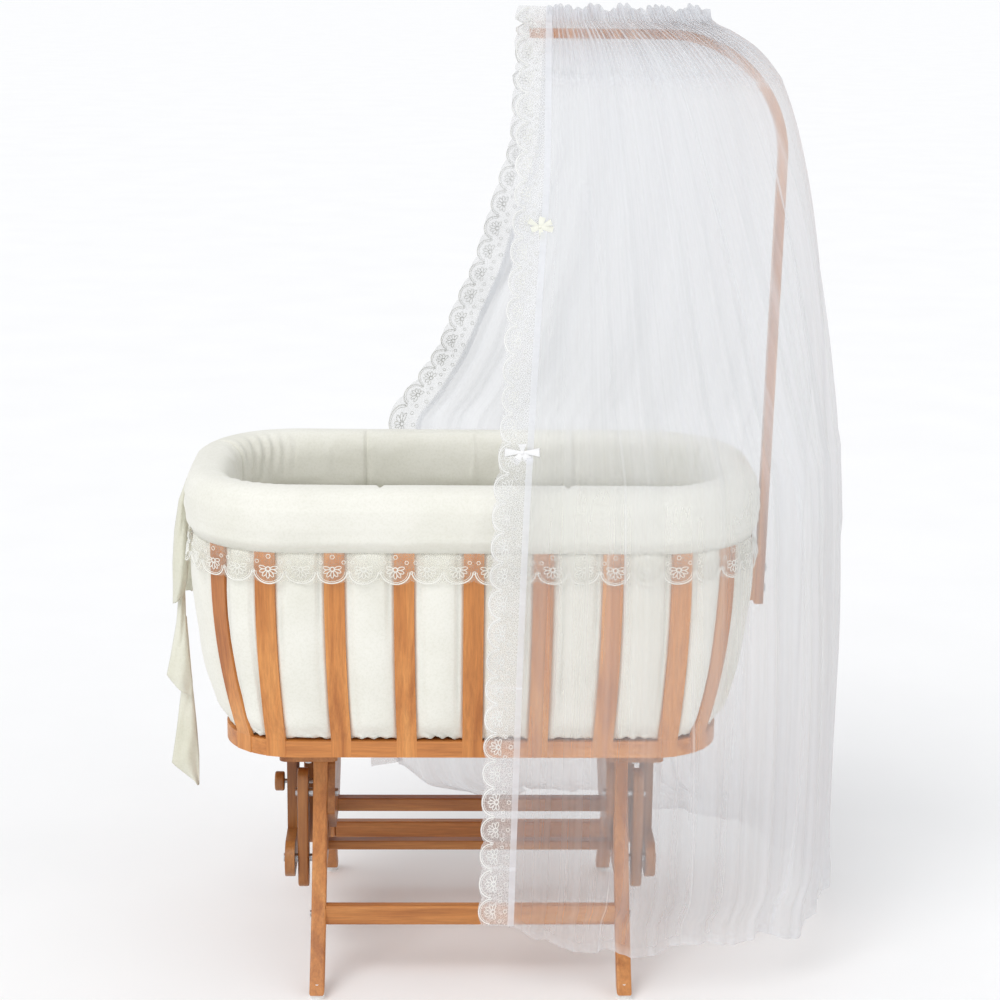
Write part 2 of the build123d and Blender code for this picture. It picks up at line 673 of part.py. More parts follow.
channel_out = channel_clearance
channel_in = rail_recess + rail_width + channel_clearance + 5.0
with BuildPart() as bumper:
    with BuildSketch(Plane.XY.offset(bumper_bottom)):
        RectangleRounded(2 * bumper_half_x, 2 * bumper_half_y, bumper_corner)
        RectangleRounded(2 * (bumper_half_x - bumper_width), 2 * (bumper_half_y - bumper_width),
                         bumper_corner - bumper_width, mode=Mode.SUBTRACT)
    extrude(amount=bumper_top - bumper_bottom)
    fillet(bumper.faces().sort_by(Axis.Z)[-1].edges(), radius=bumper_round)
    with BuildSketch(Plane.XY.offset(bumper_bottom)):
        RectangleRounded(2 * (rim_half_x + channel_out), 2 * (rim_half_y + channel_out),
                         rim_corner + channel_out)
        RectangleRounded(2 * (rim_half_x - channel_in), 2 * (rim_half_y - channel_in),
                         rim_corner - channel_in, mode=Mode.SUBTRACT)
    extrude(amount=rim_top - bumper_bottom, mode=Mode.SUBTRACT)
save(bumper, "bumper")

with BuildPart() as lace_trim:
    with BuildSketch(Plane.XY.offset(bumper_bottom - lace_drop)):
        for offset_out, mode in ((lace_offset + lace_thickness, Mode.ADD), (lace_offset, Mode.SUBTRACT)):
            RectangleRounded(2 * (rim_half_x + offset_out), 2 * (rim_half_y + offset_out),
                             rim_corner + offset_out, mode=mode)
    extrude(amount=lace_drop)
save(lace_trim, "lace_trim")

# Sash: tied at the left end of the bumper, with its loop and two tails hanging.
sash_thickness = 16.0
# Distance out from the bumper and height above its bottom edge.
sash_points = ((0, 62), (16, 58), (26, -91), (30, -141), (42, -261), (42, -449), (22, -467), (10, -431),
               (12, -311), (20, -171), (4, -81), (0, 0))
with BuildPart() as sash:
    with BuildSketch(Plane.XZ.offset(-sash_thickness / 2)):
        with BuildLine():
            Polyline(*[(-bumper_half_x - out, bumper_bottom + z) for out, z in sash_points], close=True)
        make_face()
    extrude(amount=sash_thickness)
save(sash, "sash")

# ==== Canopy: a net tent over the rod, open towards the left end

def above_bumper(share):
    """Height at a share of the way from the bumper's top to the rod."""
    return bumper_top + share * (rod_z - bumper_top)


# Height, right end and half depth of the tent at each level, from the hem up to its roof.
canopy_levels = ((canopy_hem, mast_foot[0] + 122.0, bumper_half_y + 38.0),
                 (ring_top + 63.0, mast_foot[0] + 125.0, bumper_half_y + 30.0),
                 (bumper_top + 10.0, mast_foot[0] + 112.0, bumper_half_y + 12.0),
                 (above_bumper(0.240), mast_foot[0] + 100.0, 196.0),
                 (above_bumper(0.504), mast_lean_x + 63.0, 136.0),
                 (above_bumper(0.738), mast_lean_x + 32.0, 79.0),
                 (above_bumper(0.884), mast_lean_x - 1.0, 46.0),
                 (above_bumper(0.972), mast_lean_x - 53.0, 26.0),
                 (rod_z + mast_thickness, mast_lean_x - 123.0, 20.0))
roof, roof_end, _ = canopy_levels[-1]
canopy_left = -260.0


def tent(shrink, floor_drop):
    """The tent as a full solid, moved in by shrink, reaching floor_drop below the hem."""
    sections = []
    for z, right, half in canopy_levels:
        level = z
        if z == canopy_hem:
            level = z - floor_drop
        if z == roof:
            level = z - shrink
        half_y = half - shrink
        round_end = 0.93 * half_y
        right_x = right - shrink
        with BuildSketch(Plane.XY.offset(level)) as section:
            with BuildLine():
                Line((canopy_left, -half_y), (right_x - round_end, -half_y))
                RadiusArc((right_x - round_end, -half_y), (right_x, -half_y + round_end), -round_end)
                Line((right_x, -half_y + round_end), (right_x, half_y - round_end))
                RadiusArc((right_x, half_y - round_end), (right_x - round_end, half_y), -round_end)
                Line((right_x - round_end, half_y), (canopy_left, half_y))
                Line((canopy_left, half_y), (canopy_left, -half_y))
            make_face()
        sections.append(section.sketch)
    with BuildPart() as solid:
        loft(sections, ruled=True)
    return solid.part


# Edge of each side, as X and height from above the roof down, and the rear hem that rises to the left.
above_roof = roof + 6.0
under_hem = canopy_hem - 24.0
near_edge = ((rod_end_x, above_roof), (86.0, above_bumper(0.53)), (70.0, above_bumper(0.09)), (44.0, 440.0),
             (24.0, canopy_hem))
far_edge = ((rod_end_x, above_roof), (80.0, above_bumper(0.83)), (44.0, above_bumper(0.53)),
            (-140.0, bumper_top - 1), (-170.0, 219.0), (-60.0, 168.0), (60.0, 160.0), (120.0, canopy_hem))
with BuildPart() as canopy_net:
    add(tent(0.0, 0.0))
    add(tent(canopy_wall, 10.0), mode=Mode.SUBTRACT)
    for edge, side in ((near_edge, 1), (far_edge, -1)):
        with BuildSketch(Plane.XZ):
            with BuildLine():
                Polyline((canopy_left - 10, above_roof), *edge, (edge[-1][0], under_hem),
                         (canopy_left - 10, under_hem), close=True)
            make_face()
        extrude(amount=side * 400.0, mode=Mode.SUBTRACT)
    block((rod_end_x, roof_end - 20.0), (-frill_thickness / 2, frill_thickness / 2),
          (roof - 2, roof + frill_height))
save(canopy_net, "canopy_net")
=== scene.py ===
"""Looks of the baby cradle: stained wood, padded cotton on the basket and a lace-edged tulle canopy."""
import json
import math
import random

import bpy
from mathutils import Matrix, Vector, noise


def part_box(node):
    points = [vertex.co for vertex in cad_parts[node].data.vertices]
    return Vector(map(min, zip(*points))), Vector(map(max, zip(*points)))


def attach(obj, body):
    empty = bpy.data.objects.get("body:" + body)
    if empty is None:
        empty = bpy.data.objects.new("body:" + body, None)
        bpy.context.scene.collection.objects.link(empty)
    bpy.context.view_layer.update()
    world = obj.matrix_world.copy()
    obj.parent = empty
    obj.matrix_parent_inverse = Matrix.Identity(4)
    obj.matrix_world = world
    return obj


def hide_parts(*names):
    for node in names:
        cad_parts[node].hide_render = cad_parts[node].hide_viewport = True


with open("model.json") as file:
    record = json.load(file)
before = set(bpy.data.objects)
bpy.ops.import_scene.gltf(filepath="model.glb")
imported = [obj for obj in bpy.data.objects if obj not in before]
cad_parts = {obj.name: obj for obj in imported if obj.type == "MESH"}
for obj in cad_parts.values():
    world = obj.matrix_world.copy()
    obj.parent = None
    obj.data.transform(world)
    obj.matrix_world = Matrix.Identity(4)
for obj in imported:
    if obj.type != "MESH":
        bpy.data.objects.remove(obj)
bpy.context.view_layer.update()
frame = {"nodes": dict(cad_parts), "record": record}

random.seed(7)

# ---- Sizes, in metres, from the frame where it holds them
ring_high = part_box("base_ring")[1]
rim_x = -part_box("slat_end_left")[0].x
rim_y = -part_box("slat_front_4")[0].y
rim_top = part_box("top_rail")[1].z
bumper_low, bumper_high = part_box("bumper")
mattress_low, mattress_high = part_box("mattress")
ring_x, ring_y, ring_top = ring_high
ring_corner = 0.115
rim_corner = 0.165
flare_top = 0.690
slat_thickness = 0.007
slat_half_width = 0.016
side_slats = 7


def node_mesh_points(node):
    return [v.co for v in frame["nodes"][node].data.vertices]


def mean_x(points):
    return sum(p.x for p in points) / len(points)


second_slat = node_mesh_points("slat_front_5")
pitch_ring = mean_x([p for p in second_slat if p.z < ring_top + 0.001])
pitch_rim = mean_x([p for p in second_slat if p.z > rim_top - 0.001])


# ==== Helpers for shapes

def lerp(a, b, t):
    return a + (b - a) * t


def smooth(low, high, value):
    """0 below low, 1 above high, with a smooth rise between."""
    t = min(max((value - low) / (high - low), 0.0), 1.0)
    return t * t * (3 - 2 * t)


def rows_around(table, key):
    """Index of the table row below a key, and the key's share of the way to the next row."""
    index = next((i for i in range(len(table) - 1) if key <= table[i + 1][0]), len(table) - 2)
    low, high = table[index][0], table[index + 1][0]
    return index, min(max((key - low) / (high - low), 0.0), 1.0)


def along_table(table, key):
    """Values at key in a table of (key, value...) rows sorted by rising key."""
    index, t = rows_around(table, key)
    return tuple(lerp(a, b, t) for a, b in zip(table[index][1:], table[index + 1][1:]))


def bend_slope(before, after):
    return 0.0 if before * after <= 0 else 2 * before * after / (before + after)


def along_curve(table, key):
    """Like along_table, but on a smooth curve through the rows that doesn't overshoot them."""
    index, t = rows_around(table, key)
    span = table[index + 1][0] - table[index][0]

    def slopes(row):
        row = min(max(row, 0), len(table) - 2)
        step = table[row + 1][0] - table[row][0]
        return [(b - a) / step for a, b in zip(table[row][1:], table[row + 1][1:])]

    values = []
    for a, b, before, here, after in zip(table[index][1:], table[index + 1][1:], slopes(index - 1),
                                         slopes(index), slopes(index + 1)):
        start, end = bend_slope(before, here) * span, bend_slope(here, after) * span
        values.append((2 * t ** 3 - 3 * t ** 2 + 1) * a + (t ** 3 - 2 * t ** 2 + t) * start
                      + (3 * t ** 2 - 2 * t ** 3) * b + (t ** 3 - t ** 2) * end)
    return tuple(values)


def ripple(x, y, seed):
    """Smooth repeatable noise from -1 to 1."""
    return noise.noise(Vector((x, y, seed * 17.31)))


def mesh_object(name, points, faces, material, smooth_faces=True):
    mesh = bpy.data.meshes.new(name)
    mesh.from_pydata([tuple(p) for p in points], [], faces)
    mesh.update()
    mesh.materials.append(material)
    if smooth_faces:
        for polygon in mesh.polygons:
            polygon.use_smooth = True
    obj = bpy.data.objects.new(name, mesh)
    bpy.context.collection.objects.link(obj)
    return obj


def grid_faces(columns, rows, wrap_columns=False, wrap_rows=False):
    """Quads of a grid whose points run row by row."""
    faces = []
    for r in range(rows if wrap_rows else rows - 1):
        for c in range(columns if wrap_columns else columns - 1):
            c2, r2 = (c + 1) % columns, (r + 1) % rows
            faces.append((r * columns + c, r * columns + c2, r2 * columns + c2, r2 * columns + c))
    return faces


def float_attribute(obj, name, values):
    attribute = obj.data.attributes.new(name, "FLOAT", "POINT")
    attribute.data.foreach_set("value", values)


def finish_piece(obj, body, slot, *replaced):
    """Fix a piece to a body and hide the CAD nodes that it replaces; the slot is not used."""
    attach(obj, body)
    if replaced:
        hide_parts(*replaced)


def flare(z):
    """Share of the basket's outward flare that is reached at a height."""
    t = min(max((z - ring_top) / (flare_top - ring_top), 0.0), 1.0)
    return 1.0 - (1.0 - t) ** 2


def outline(z):
    """Half length, half width and corner radius of the slats' outer face at a height."""
    share = flare(z)
    return lerp(ring_x, rim_x, share), lerp(ring_y, rim_y, share), lerp(ring_corner, rim_corner, share)


def perimeter(shape):
    half_x, half_y, corner = shape
    return 4 * (half_x - corner + half_y - corner) + 2 * math.pi * corner


def around(shape, distance):
    """Point and outward direction at a distance along an outline, from the middle of its front towards +X."""
    half_x, half_y, corner = shape
    run_x, run_y, bend = half_x - corner, half_y - corner, corner * math.pi / 2
    d = distance % perimeter(shape)
    runs = ((run_x, (0, -half_y), 0), (bend, (run_x, -run_y), -90), (2 * run_y, (half_x, -run_y), 90),
            (bend, (run_x, run_y), 0), (2 * run_x, (run_x, half_y), 180), (bend, (-run_x, run_y), 90),
            (2 * run_y, (-half_x, run_y), 270), (bend, (-run_x, -run_y), 180),
            (run_x, (-run_x, -half_y), 360))
    for index, (length, start, angle) in enumerate(runs):
        if d <= length or index == len(runs) - 1:
            if index % 2:
                turn = math.radians(angle) + d / corner
                out = Vector((math.cos(turn), math.sin(turn)))
                return Vector(start) + out * corner, out
            turn = math.radians(angle)
            heading = Vector((math.cos(turn), math.sin(turn)))
            return Vector(start) + heading * d, Vector((heading.y, -heading.x))
        d -= length


def slat_distances(z):
    """Distances of the slats' middles along the outline at a height, in order."""
    shape = outline(z)
    half_x, half_y, corner = shape
    run_x = half_x - corner
    pitch = lerp(pitch_ring, pitch_rim, flare(z))
    quarter = perimeter(shape) / 4
    first = []
    for row in range(side_slats // 2 + 1):
        x = row * pitch
        first.append(x if x <= run_x else run_x + corner * math.asin((x - run_x) / corner))
    first.append(run_x + corner * math.pi / 4)
    first.append(quarter)
    second = [2 * quarter - d for d in first[-2::-1]]
    half = first + second
    return half + [2 * quarter + d for d in half[1:-1]]


# ==== Materials

class Look:
    """A new material, with short ways to add, link and set its nodes."""

    def __init__(self, name):
        self.material = bpy.data.materials.new(name)
        self.material.use_nodes = True
        self.nodes = self.material.node_tree.nodes
        self.links = self.material.node_tree.links
        self.shader = self.nodes["Principled BSDF"]

    def feed(self, socket, value):
        """Link a socket to another node's output, or set its value."""
        if isinstance(value, bpy.types.NodeSocket):
            self.links.new(value, socket)
        else:
            socket.default_value = value

    def node(self, kind, **values):
        """A node with its properties set by name, and with its inputs given as in_Name."""
        node = self.nodes.new(kind)
        for name, value in values.items():
            if name.startswith("in_"):
                self.feed(node.inputs[name[3:].replace("_", " ")], value)
            else:
                setattr(node, name, value)
        return node

    def on_object(self, kind, **values):
        """A node that works on the object's own coordinates."""
        coordinates = self.nodes.new("ShaderNodeTexCoord")
        return self.node(kind, in_Vector=coordinates.outputs["Object"], **values)

    def noise(self, scale, detail, **values):
        return self.on_object("ShaderNodeTexNoise", in_Scale=scale, in_Detail=detail, **values).outputs["Fac"]

    def ramp(self, source, *stops):
        """Colours over a value, each stop a (position, colour)."""
        node = self.node("ShaderNodeValToRGB", in_Fac=source)
        while len(node.color_ramp.elements) < len(stops):
            node.color_ramp.elements.new(0.5)
        for element, (position, color) in zip(node.color_ramp.elements, stops):
            element.position = position
            element.color = (*color, 1)
        return node.outputs["Color"]

    def remap(self, source, low, high, to_low, to_high):
        node = self.node("ShaderNodeMapRange", in_Value=source, in_From_Min=low, in_From_Max=high,
                         in_To_Min=to_low, in_To_Max=to_high)
        return node.outputs["Result"]

    def math(self, operation, first, second, clamp=False):
        node = self.node("ShaderNodeMath", operation=operation, use_clamp=clamp)
        self.feed(node.inputs[0], first)
        self.feed(node.inputs[1], second)
        return node.outputs[0]

    def multiply_colors(self, share, first, second):
        node = self.node("ShaderNodeMix", data_type="RGBA", blend_type="MULTIPLY")
        for socket, value in ((0, share), (6, first), (7, second)):
            self.feed(node.inputs[socket], value)
        return node.outputs[2]

    def mix_shaders(self, share, first, second):
        node = self.nodes.new("ShaderNodeMixShader")
        for socket, value in zip(node.inputs, (share, first, second)):
            self.feed(socket, value)
        return node.outputs[0]

    def surface(self, **values):
        """Set or link the main shader's inputs."""
        for name, value in values.items():
            self.feed(self.shader.inputs[name.replace("_", " ")], value)

    def bumps(self, *layers):
        """Stack bumps on the main shader's normal, each (height, strength, distance)."""
        for height, strength, distance in layers:
            bump = self.node("ShaderNodeBump", in_Height=height, in_Strength=strength, in_Distance=distance)
            below = self.shader.inputs["Normal"].links
            if below:
                self.feed(bump.inputs["Normal"], below[0].from_socket)
            self.feed(self.shader.inputs["Normal"], bump.outputs["Normal"])


def shaded(color, share):
    return [channel * share for channel in color]


WOOD_DARK = (0.430, 0.140, 0.028)
WOOD_MID = (0.630, 0.245, 0.060)
WOOD_LIGHT = (0.740, 0.330, 0.095)
GRAIN_STRETCH = 0.055
BROAD_GRAIN, FINE_GRAIN, PORES = 34, 260, 620


def wood_material(name, grain_axis, seed, painted_shade):
    """Honey-stained beech: long grain, fine dark pores and a satin lacquer, the grain along one axis."""
    look = Look(name)
    stretch = [GRAIN_STRETCH if axis == grain_axis else 1 for axis in "XYZ"]

    def grain(kind, scale, **values):
        place = look.on_object("ShaderNodeMapping", in_Location=(seed * 3.7, seed * 1.9, seed * 5.3),
                               in_Scale=tuple(scale * s for s in stretch))
        return look.node(kind, in_Vector=place.outputs["Vector"], in_Scale=1.0, **values).outputs

    broad = grain("ShaderNodeTexNoise", BROAD_GRAIN, in_Detail=5.0, in_Distortion=0.8)["Fac"]
    fine = grain("ShaderNodeTexNoise", FINE_GRAIN, in_Detail=6.0, in_Roughness=0.7)["Fac"]
    pores = look.ramp(grain("ShaderNodeTexVoronoi", PORES)["Distance"], (0.0, (0.25,) * 3), (0.16, (1,) * 3))
    # Painted shade: the grain colours are scaled down by the given share, darkening the stand's pieces as if
    # in shade; 1.0 leaves them as they are.
    base = look.ramp(broad, (0.30, shaded(WOOD_DARK, painted_shade)), (0.50, shaded(WOOD_MID, painted_shade)),
                     (0.72, shaded(WOOD_LIGHT, painted_shade)))
    streaks = look.ramp(fine, (0.35, (0.72, 0.66, 0.60)), (0.62, (1.06, 1.04, 1.0)))
    streaked = look.multiply_colors(0.75, base, streaks)
    look.surface(Base_Color=look.multiply_colors(0.35, streaked, pores),
                 Roughness=look.remap(fine, 0.0, 1.0, 0.34, 0.52), Coat_Weight=0.22, Coat_Roughness=0.25)
    look.bumps((fine, 0.25, 0.0006), (pores, 0.2, 0.0003))
    return look.material


def cotton_material(name, color, shadow, weave=150.0):
    """Plain-woven cotton: crossed threads, slubs and a soft sheen."""
    look = Look(name)
    threads = [look.on_object("ShaderNodeTexWave", bands_direction=axis, in_Scale=weave, in_Distortion=1.5,
                              in_Detail=1.0).outputs["Fac"] for axis in "XZY"]
    weave_height = look.math("ADD", look.math("MAXIMUM", threads[0], threads[1]), threads[2])
    slub = look.noise(240.0, 5.0, in_Roughness=0.65)
    tone = look.ramp(look.noise(9.0, 4.0), (0.3, shadow), (0.62, color))
    fleck = look.ramp(slub, (0.34, (0.93, 0.93, 0.91)), (0.55, (1, 1, 1)))
    look.surface(Base_Color=look.multiply_colors(0.8, tone, fleck),
                 Roughness=look.remap(slub, 0.0, 1.0, 0.78, 0.95), Sheen_Weight=0.25, Sheen_Roughness=0.5,
                 Specular_IOR_Level=0.2)
    look.bumps((weave_height, 0.15, 0.0003), (slub, 0.3, 0.0008))
    return look.material


def sheer_material(name, color, cover_low, cover_high, hole_scale=0.0, glow=0.35):
    """Net that lets light and sight through.

    Two values on the mesh steer it: "gathered" says how gathered it is, and "along" is the distance across
    the cloth in metres, so that its fine pleats run down the cloth and spread with it.
    """
    look = Look(name)
    gathered, along = (look.node("ShaderNodeAttribute", attribute_name=value).outputs["Fac"]
                       for value in ("gathered", "along"))
    height = look.on_object("ShaderNodeSeparateXYZ").outputs["Z"]

    def pleats(across, down, detail):
        place = look.node("ShaderNodeCombineXYZ", in_X=look.math("MULTIPLY", along, across),
                          in_Y=look.math("MULTIPLY", height, down))
        return look.node("ShaderNodeTexNoise", in_Vector=place.outputs[0], in_Scale=1.0,
                         in_Detail=detail).outputs["Fac"]

    cover = look.remap(gathered, 0.0, 1.0, cover_low, cover_high)
    broad = look.remap(pleats(13.0, 0.7, 2.0), 0.3, 0.7, 0.82, 1.20)
    fine = look.remap(pleats(70.0, 1.2, 2.0), 0.3, 0.7, 0.93, 1.07)
    cover = look.math("MULTIPLY", cover, look.math("MULTIPLY", broad, fine))
    ridge = look.math("ABSOLUTE", look.math("SUBTRACT", pleats(5.5, 0.45, 0.0), 0.5), 0.0)
    ridge = look.remap(ridge, 0.002, 0.008, 1.0, 0.0)
    patches = look.remap(pleats(9.0, 2.2, 1.0), 0.45, 0.65, 0.0, 0.42)
    cover = look.math("ADD", cover, look.math("MULTIPLY", ridge, patches), clamp=True)
    if hole_scale:
        cells = look.on_object("ShaderNodeTexVoronoi", feature="DISTANCE_TO_EDGE", in_Scale=hole_scale)
        cord = look.remap(cells.outputs["Distance"], 0.02, 0.14, 1.5, 0.75)
        cover = look.math("MULTIPLY", cover, cord, clamp=True)
    look.surface(Base_Color=(*color, 1), Roughness=0.75, Sheen_Weight=0.2, Specular_IOR_Level=0.2)
    glowing = look.node("ShaderNodeBsdfTranslucent", in_Color=(*color, 1)).outputs[0]
    cloth = look.mix_shaders(glow, look.shader.outputs[0], glowing)
    clear = look.node("ShaderNodeBsdfTransparent").outputs[0]
    look.feed(look.nodes["Material Output"].inputs["Surface"], look.mix_shaders(cover, clear, cloth))
    return look.material


def satin_material(name, color):
    """Woven satin tape: smooth, with fine threads and a soft gloss."""
    look = Look(name)
    thread = look.noise(900.0, 3.0)
    look.surface(Base_Color=look.ramp(thread, (0.35, shaded(color, 0.93)), (0.6, color)), Roughness=0.38,
                 Sheen_Weight=0.3, Anisotropic=0.5)
    look.bumps((thread, 0.2, 0.0002))
    return look.material


def plain_material(name, color, roughness, metallic=0.0):
    """Moulded plastic or plated metal: fine mottling in colour, roughness and surface."""
    look = Look(name)
    mottle = look.noise(600.0, 4.0)
    look.surface(Base_Color=look.ramp(mottle, (0.3, shaded(color, 0.86)), (0.65, color)), Metallic=metallic,
                 Roughness=look.remap(mottle, 0.0, 1.0, roughness - 0.08, roughness + 0.1))
    look.bumps((mottle, 0.15, 0.0002))
    return look.material


IVORY = (0.86, 0.85, 0.78)
IVORY_SHADE = (0.80, 0.79, 0.71)
LACE_CELLS = 330.0
FINE_THREADS = 240.0
cotton = cotton_material("ivory_cotton", IVORY, IVORY_SHADE)
mattress_cotton = cotton_material("mattress_cotton", (0.87, 0.86, 0.80), (0.81, 0.80, 0.74), weave=110.0)
sash_cotton = cotton_material("sash_cotton", (0.78, 0.77, 0.66), (0.70, 0.69, 0.57), weave=130.0)
tulle = sheer_material("tulle", (0.865, 0.875, 0.895), 0.0, 0.92, glow=0.5)
hem_tape = sheer_material("hem_tape", (0.88, 0.89, 0.92), 0.42, 0.90)
lace_net = sheer_material("lace_net", (0.87, 0.875, 0.88), 0.28, 0.72, hole_scale=LACE_CELLS)
thread_white = cotton_material("lace_thread", (0.88, 0.88, 0.86), (0.82, 0.82, 0.80), weave=FINE_THREADS)
thread_ivory = cotton_material("ivory_thread", (0.90, 0.895, 0.84), (0.85, 0.84, 0.78), weave=FINE_THREADS)
lace_ivory = sheer_material("lace_ivory", (0.90, 0.895, 0.84), 0.15, 0.50, hole_scale=LACE_CELLS, glow=0.5)
satin_white = satin_material("satin_white", (0.93, 0.93, 0.93))
satin_cream = satin_material("satin_cream", (0.90, 0.90, 0.80))
steel = plain_material("zinc_steel", (0.55, 0.55, 0.56), 0.32, metallic=1.0)
white_plastic = plain_material("white_plastic", (0.86, 0.86, 0.85), 0.42)
wood_cache = {}


# One wood material for each grain axis, variant and share of painted shade.
def wood(axis, variant, painted_shade):
    key = (axis, variant, painted_shade)
    if key not in wood_cache:
        wood_cache[key] = wood_material(f"wood_{axis.lower()}_{variant}_{int(painted_shade * 100)}", *key)
    return wood_cache[key]


# ==== Wood, metal and plastic on the CAD nodes

# Painted shade: pieces of the stand whose wood is made darker than the basket's slats, as if in the basket's
# shade, by how their names begin.
WOOD_PAINTED_SHADE = ((("link", "hanger", "end_board", "end_rail", "lock"), 0.58),
               (("upper_stretcher", "lower_stretcher", "cross_board"), 0.66),
               (("leg", "front_lower", "rear_lower"), 0.84))


def paint_frame():
    node_slot = {entry["node"]: entry["material_slot"] for entry in frame["record"]["subparts"]}
    along_x = ("rail", "stretcher", "base_ring", "base_panel")
    along_y = ("end_rail", "end_board", "cross_board")
    for index, (name, obj) in enumerate(sorted(frame["nodes"].items())):
        slot = node_slot[name]
        if slot == "wood":
            axis = "Z"
            if any(word in name for word in along_x):
                axis = "X"
            if any(name.startswith(word) for word in along_y):
                axis = "Y"
            # Painted shade: the stand's pieces get the darkening share listed for them; all other wood keeps
            # 1.0.
            painted_shade = next((depth for words, depth in WOOD_PAINTED_SHADE if name.startswith(words)), 1.0)
            chosen = wood(axis, index % 5, painted_shade)
        else:
            chosen = {"steel": steel, "white_plastic": white_plastic}.get(slot, cotton)
        obj.data.materials.clear()
        obj.data.materials.append(chosen)


paint_frame()


# ==== Liner: padded cotton that bulges out between the slats

LINER_COLUMNS_PER_GAP = 30
LINER_WALL_ROWS = 46
LINER_INNER_ROWS = 14
LINER_WALL = 0.022
LINER_BEHIND_SLATS = slat_thickness + 0.0015
liner_top = bumper_low.z + 0.004
liner_bottom = ring_top + 0.0012


def liner_bulge(gap, inside, hump, d, z):
    """How far the liner stands out at a place in a gap: its swelling, less creases, pulls and tucks."""
    near_ring = smooth(0.0, 0.035, z - ring_top)
    near_top = smooth(0.0, 0.05, liner_top - z)
    swell = 0.0135 + 0.0035 * ripple(gap * 1.7, z * 9, 3)
    lift = hump * swell * (0.35 + 0.65 * near_ring) * (0.55 + 0.45 * near_top)
    lift += hump * 0.0016 * ripple(d * 42, z * 7 + gap, 5)
    lift += hump * 0.0022 * (1 - near_ring) * math.sin(d * 300 + 3 * ripple(d * 30, 0, 8))
    pull = math.exp(-((inside - 0.06) / 0.05) ** 2) + math.exp(-((inside - 0.94) / 0.05) ** 2)
    lift -= pull * 0.0018 * max(ripple(gap * 5.1, z * 28, 9), 0.0)
    for tuck in range(2):
        middle = 0.16 + 0.30 * ripple(gap * 3.3, tuck, 51) ** 2 if tuck else 0.86
        reach = 0.5 + 0.9 * ripple(gap * 2.9, tuck * 4, 52)
        width = 0.022 + 0.010 * ripple(gap, z * 11, 53)
        drift = 0.03 * ripple(gap * 1.3, z * 6, 54)
        groove = math.exp(-((inside - middle - drift) / width) ** 2)
        rise = (z - liner_bottom) / (liner_top - liner_bottom)
        lift -= 0.0042 * groove * smooth(reach - 0.4, reach, rise)
    return lift


def liner_hem(gap, hump, d, z):
    """How far the liner's ragged lower hem stands up at a place in a gap."""
    ragged = 0.0045 + 0.0030 * ripple(d * 60, gap, 55) + 0.0016 * math.sin(d * 330 + gap)
    return ragged * (1 - smooth(0.0, 0.030, z - liner_bottom)) * hump


def liner_row(z, depth, puffed):
    """Points of the liner all round at a height, at a depth behind the slats' outer faces."""
    shape = outline(z)
    stations = slat_distances(z)
    stations.append(stations[0] + perimeter(shape))
    row = []
    for gap, (start, end) in enumerate(zip(stations, stations[1:])):
        edge = (slat_half_width - 0.002) / (end - start)
        for step in range(LINER_COLUMNS_PER_GAP):
            q = step / LINER_COLUMNS_PER_GAP
            d = lerp(start, end, q)
            point, out = around(shape, d)
            inside = min(max((q - edge) / (1 - 2 * edge), 0.0), 1.0)
            hump = math.sin(math.pi * inside) ** 0.55 if 0 < inside < 1 else 0.0
            lift, hem = 0.0, 0.0
            if puffed:
                lift, hem = liner_bulge(gap, inside, hump, d, z), liner_hem(gap, hump, d, z)
            position = point + out * (lift - depth)
            row.append((position.x, position.y, z + hem))
    return row


def build_liner():
    points = []
    for row in range(LINER_WALL_ROWS):
        share = row / (LINER_WALL_ROWS - 1)
        points += liner_row(lerp(liner_bottom, liner_top, share ** 1.15), LINER_BEHIND_SLATS, True)
    for row in range(LINER_INNER_ROWS):
        share = row / (LINER_INNER_ROWS - 1)
        depth = LINER_BEHIND_SLATS + LINER_WALL + 0.004 * math.sin(math.pi * share)
        points += liner_row(lerp(liner_top, mattress_low.z - 0.004, share), depth, False)
    rows = LINER_WALL_ROWS + LINER_INNER_ROWS
    liner = mesh_object("liner_padded", points, grid_faces(len(points) // rows, rows, True, True), cotton)
    finish_piece(liner, "basket", "ivory_cotton", "liner")


build_liner()


# ==== Bumper: a padded roll over the rim, with seams and puckers

BUMPER_COLUMNS = 900
BUMPER_WIDTH = 0.073
# Where the roll's sewn seams are, as shares of the way round.
BUMPER_SEAMS = (0.060, 0.190, 0.310, 0.427, 0.573, 0.700, 0.815, 0.940)


def bumper_section():
    """Closed outline of the roll: outward from the slats' outer face, height, and 1 where it is free."""
    middle = bumper_high.x - rim_x - BUMPER_WIDTH / 2
    low, high = bumper_low.z, bumper_high.z
    section = []
    steps, squareness = 46, 0.72
    for step in range(steps + 1):
        angle = math.radians(lerp(-74, 254, step / steps))
        c, s = math.cos(angle), math.sin(angle)
        x = middle + math.copysign(abs(c) ** squareness, c) * BUMPER_WIDTH / 2
        z = lerp(low, high, 0.5) + math.copysign(abs(s) ** squareness, s) * (high - low) / 2
        section.append((x, z, 1.0))
    channel = ((-0.028, low + 0.004), (-0.027, rim_top + 0.001), (0.0005, rim_top + 0.001),
               (0.0015, low + 0.004))
    for (x0, z0), (x1, z1) in zip(channel, channel[1:]):
        for step in range(4):
            section.append((lerp(x0, x1, step / 4), lerp(z0, z1, step / 4), 0.0))
    section.append((channel[-1][0], channel[-1][1], 0.0))
    return section


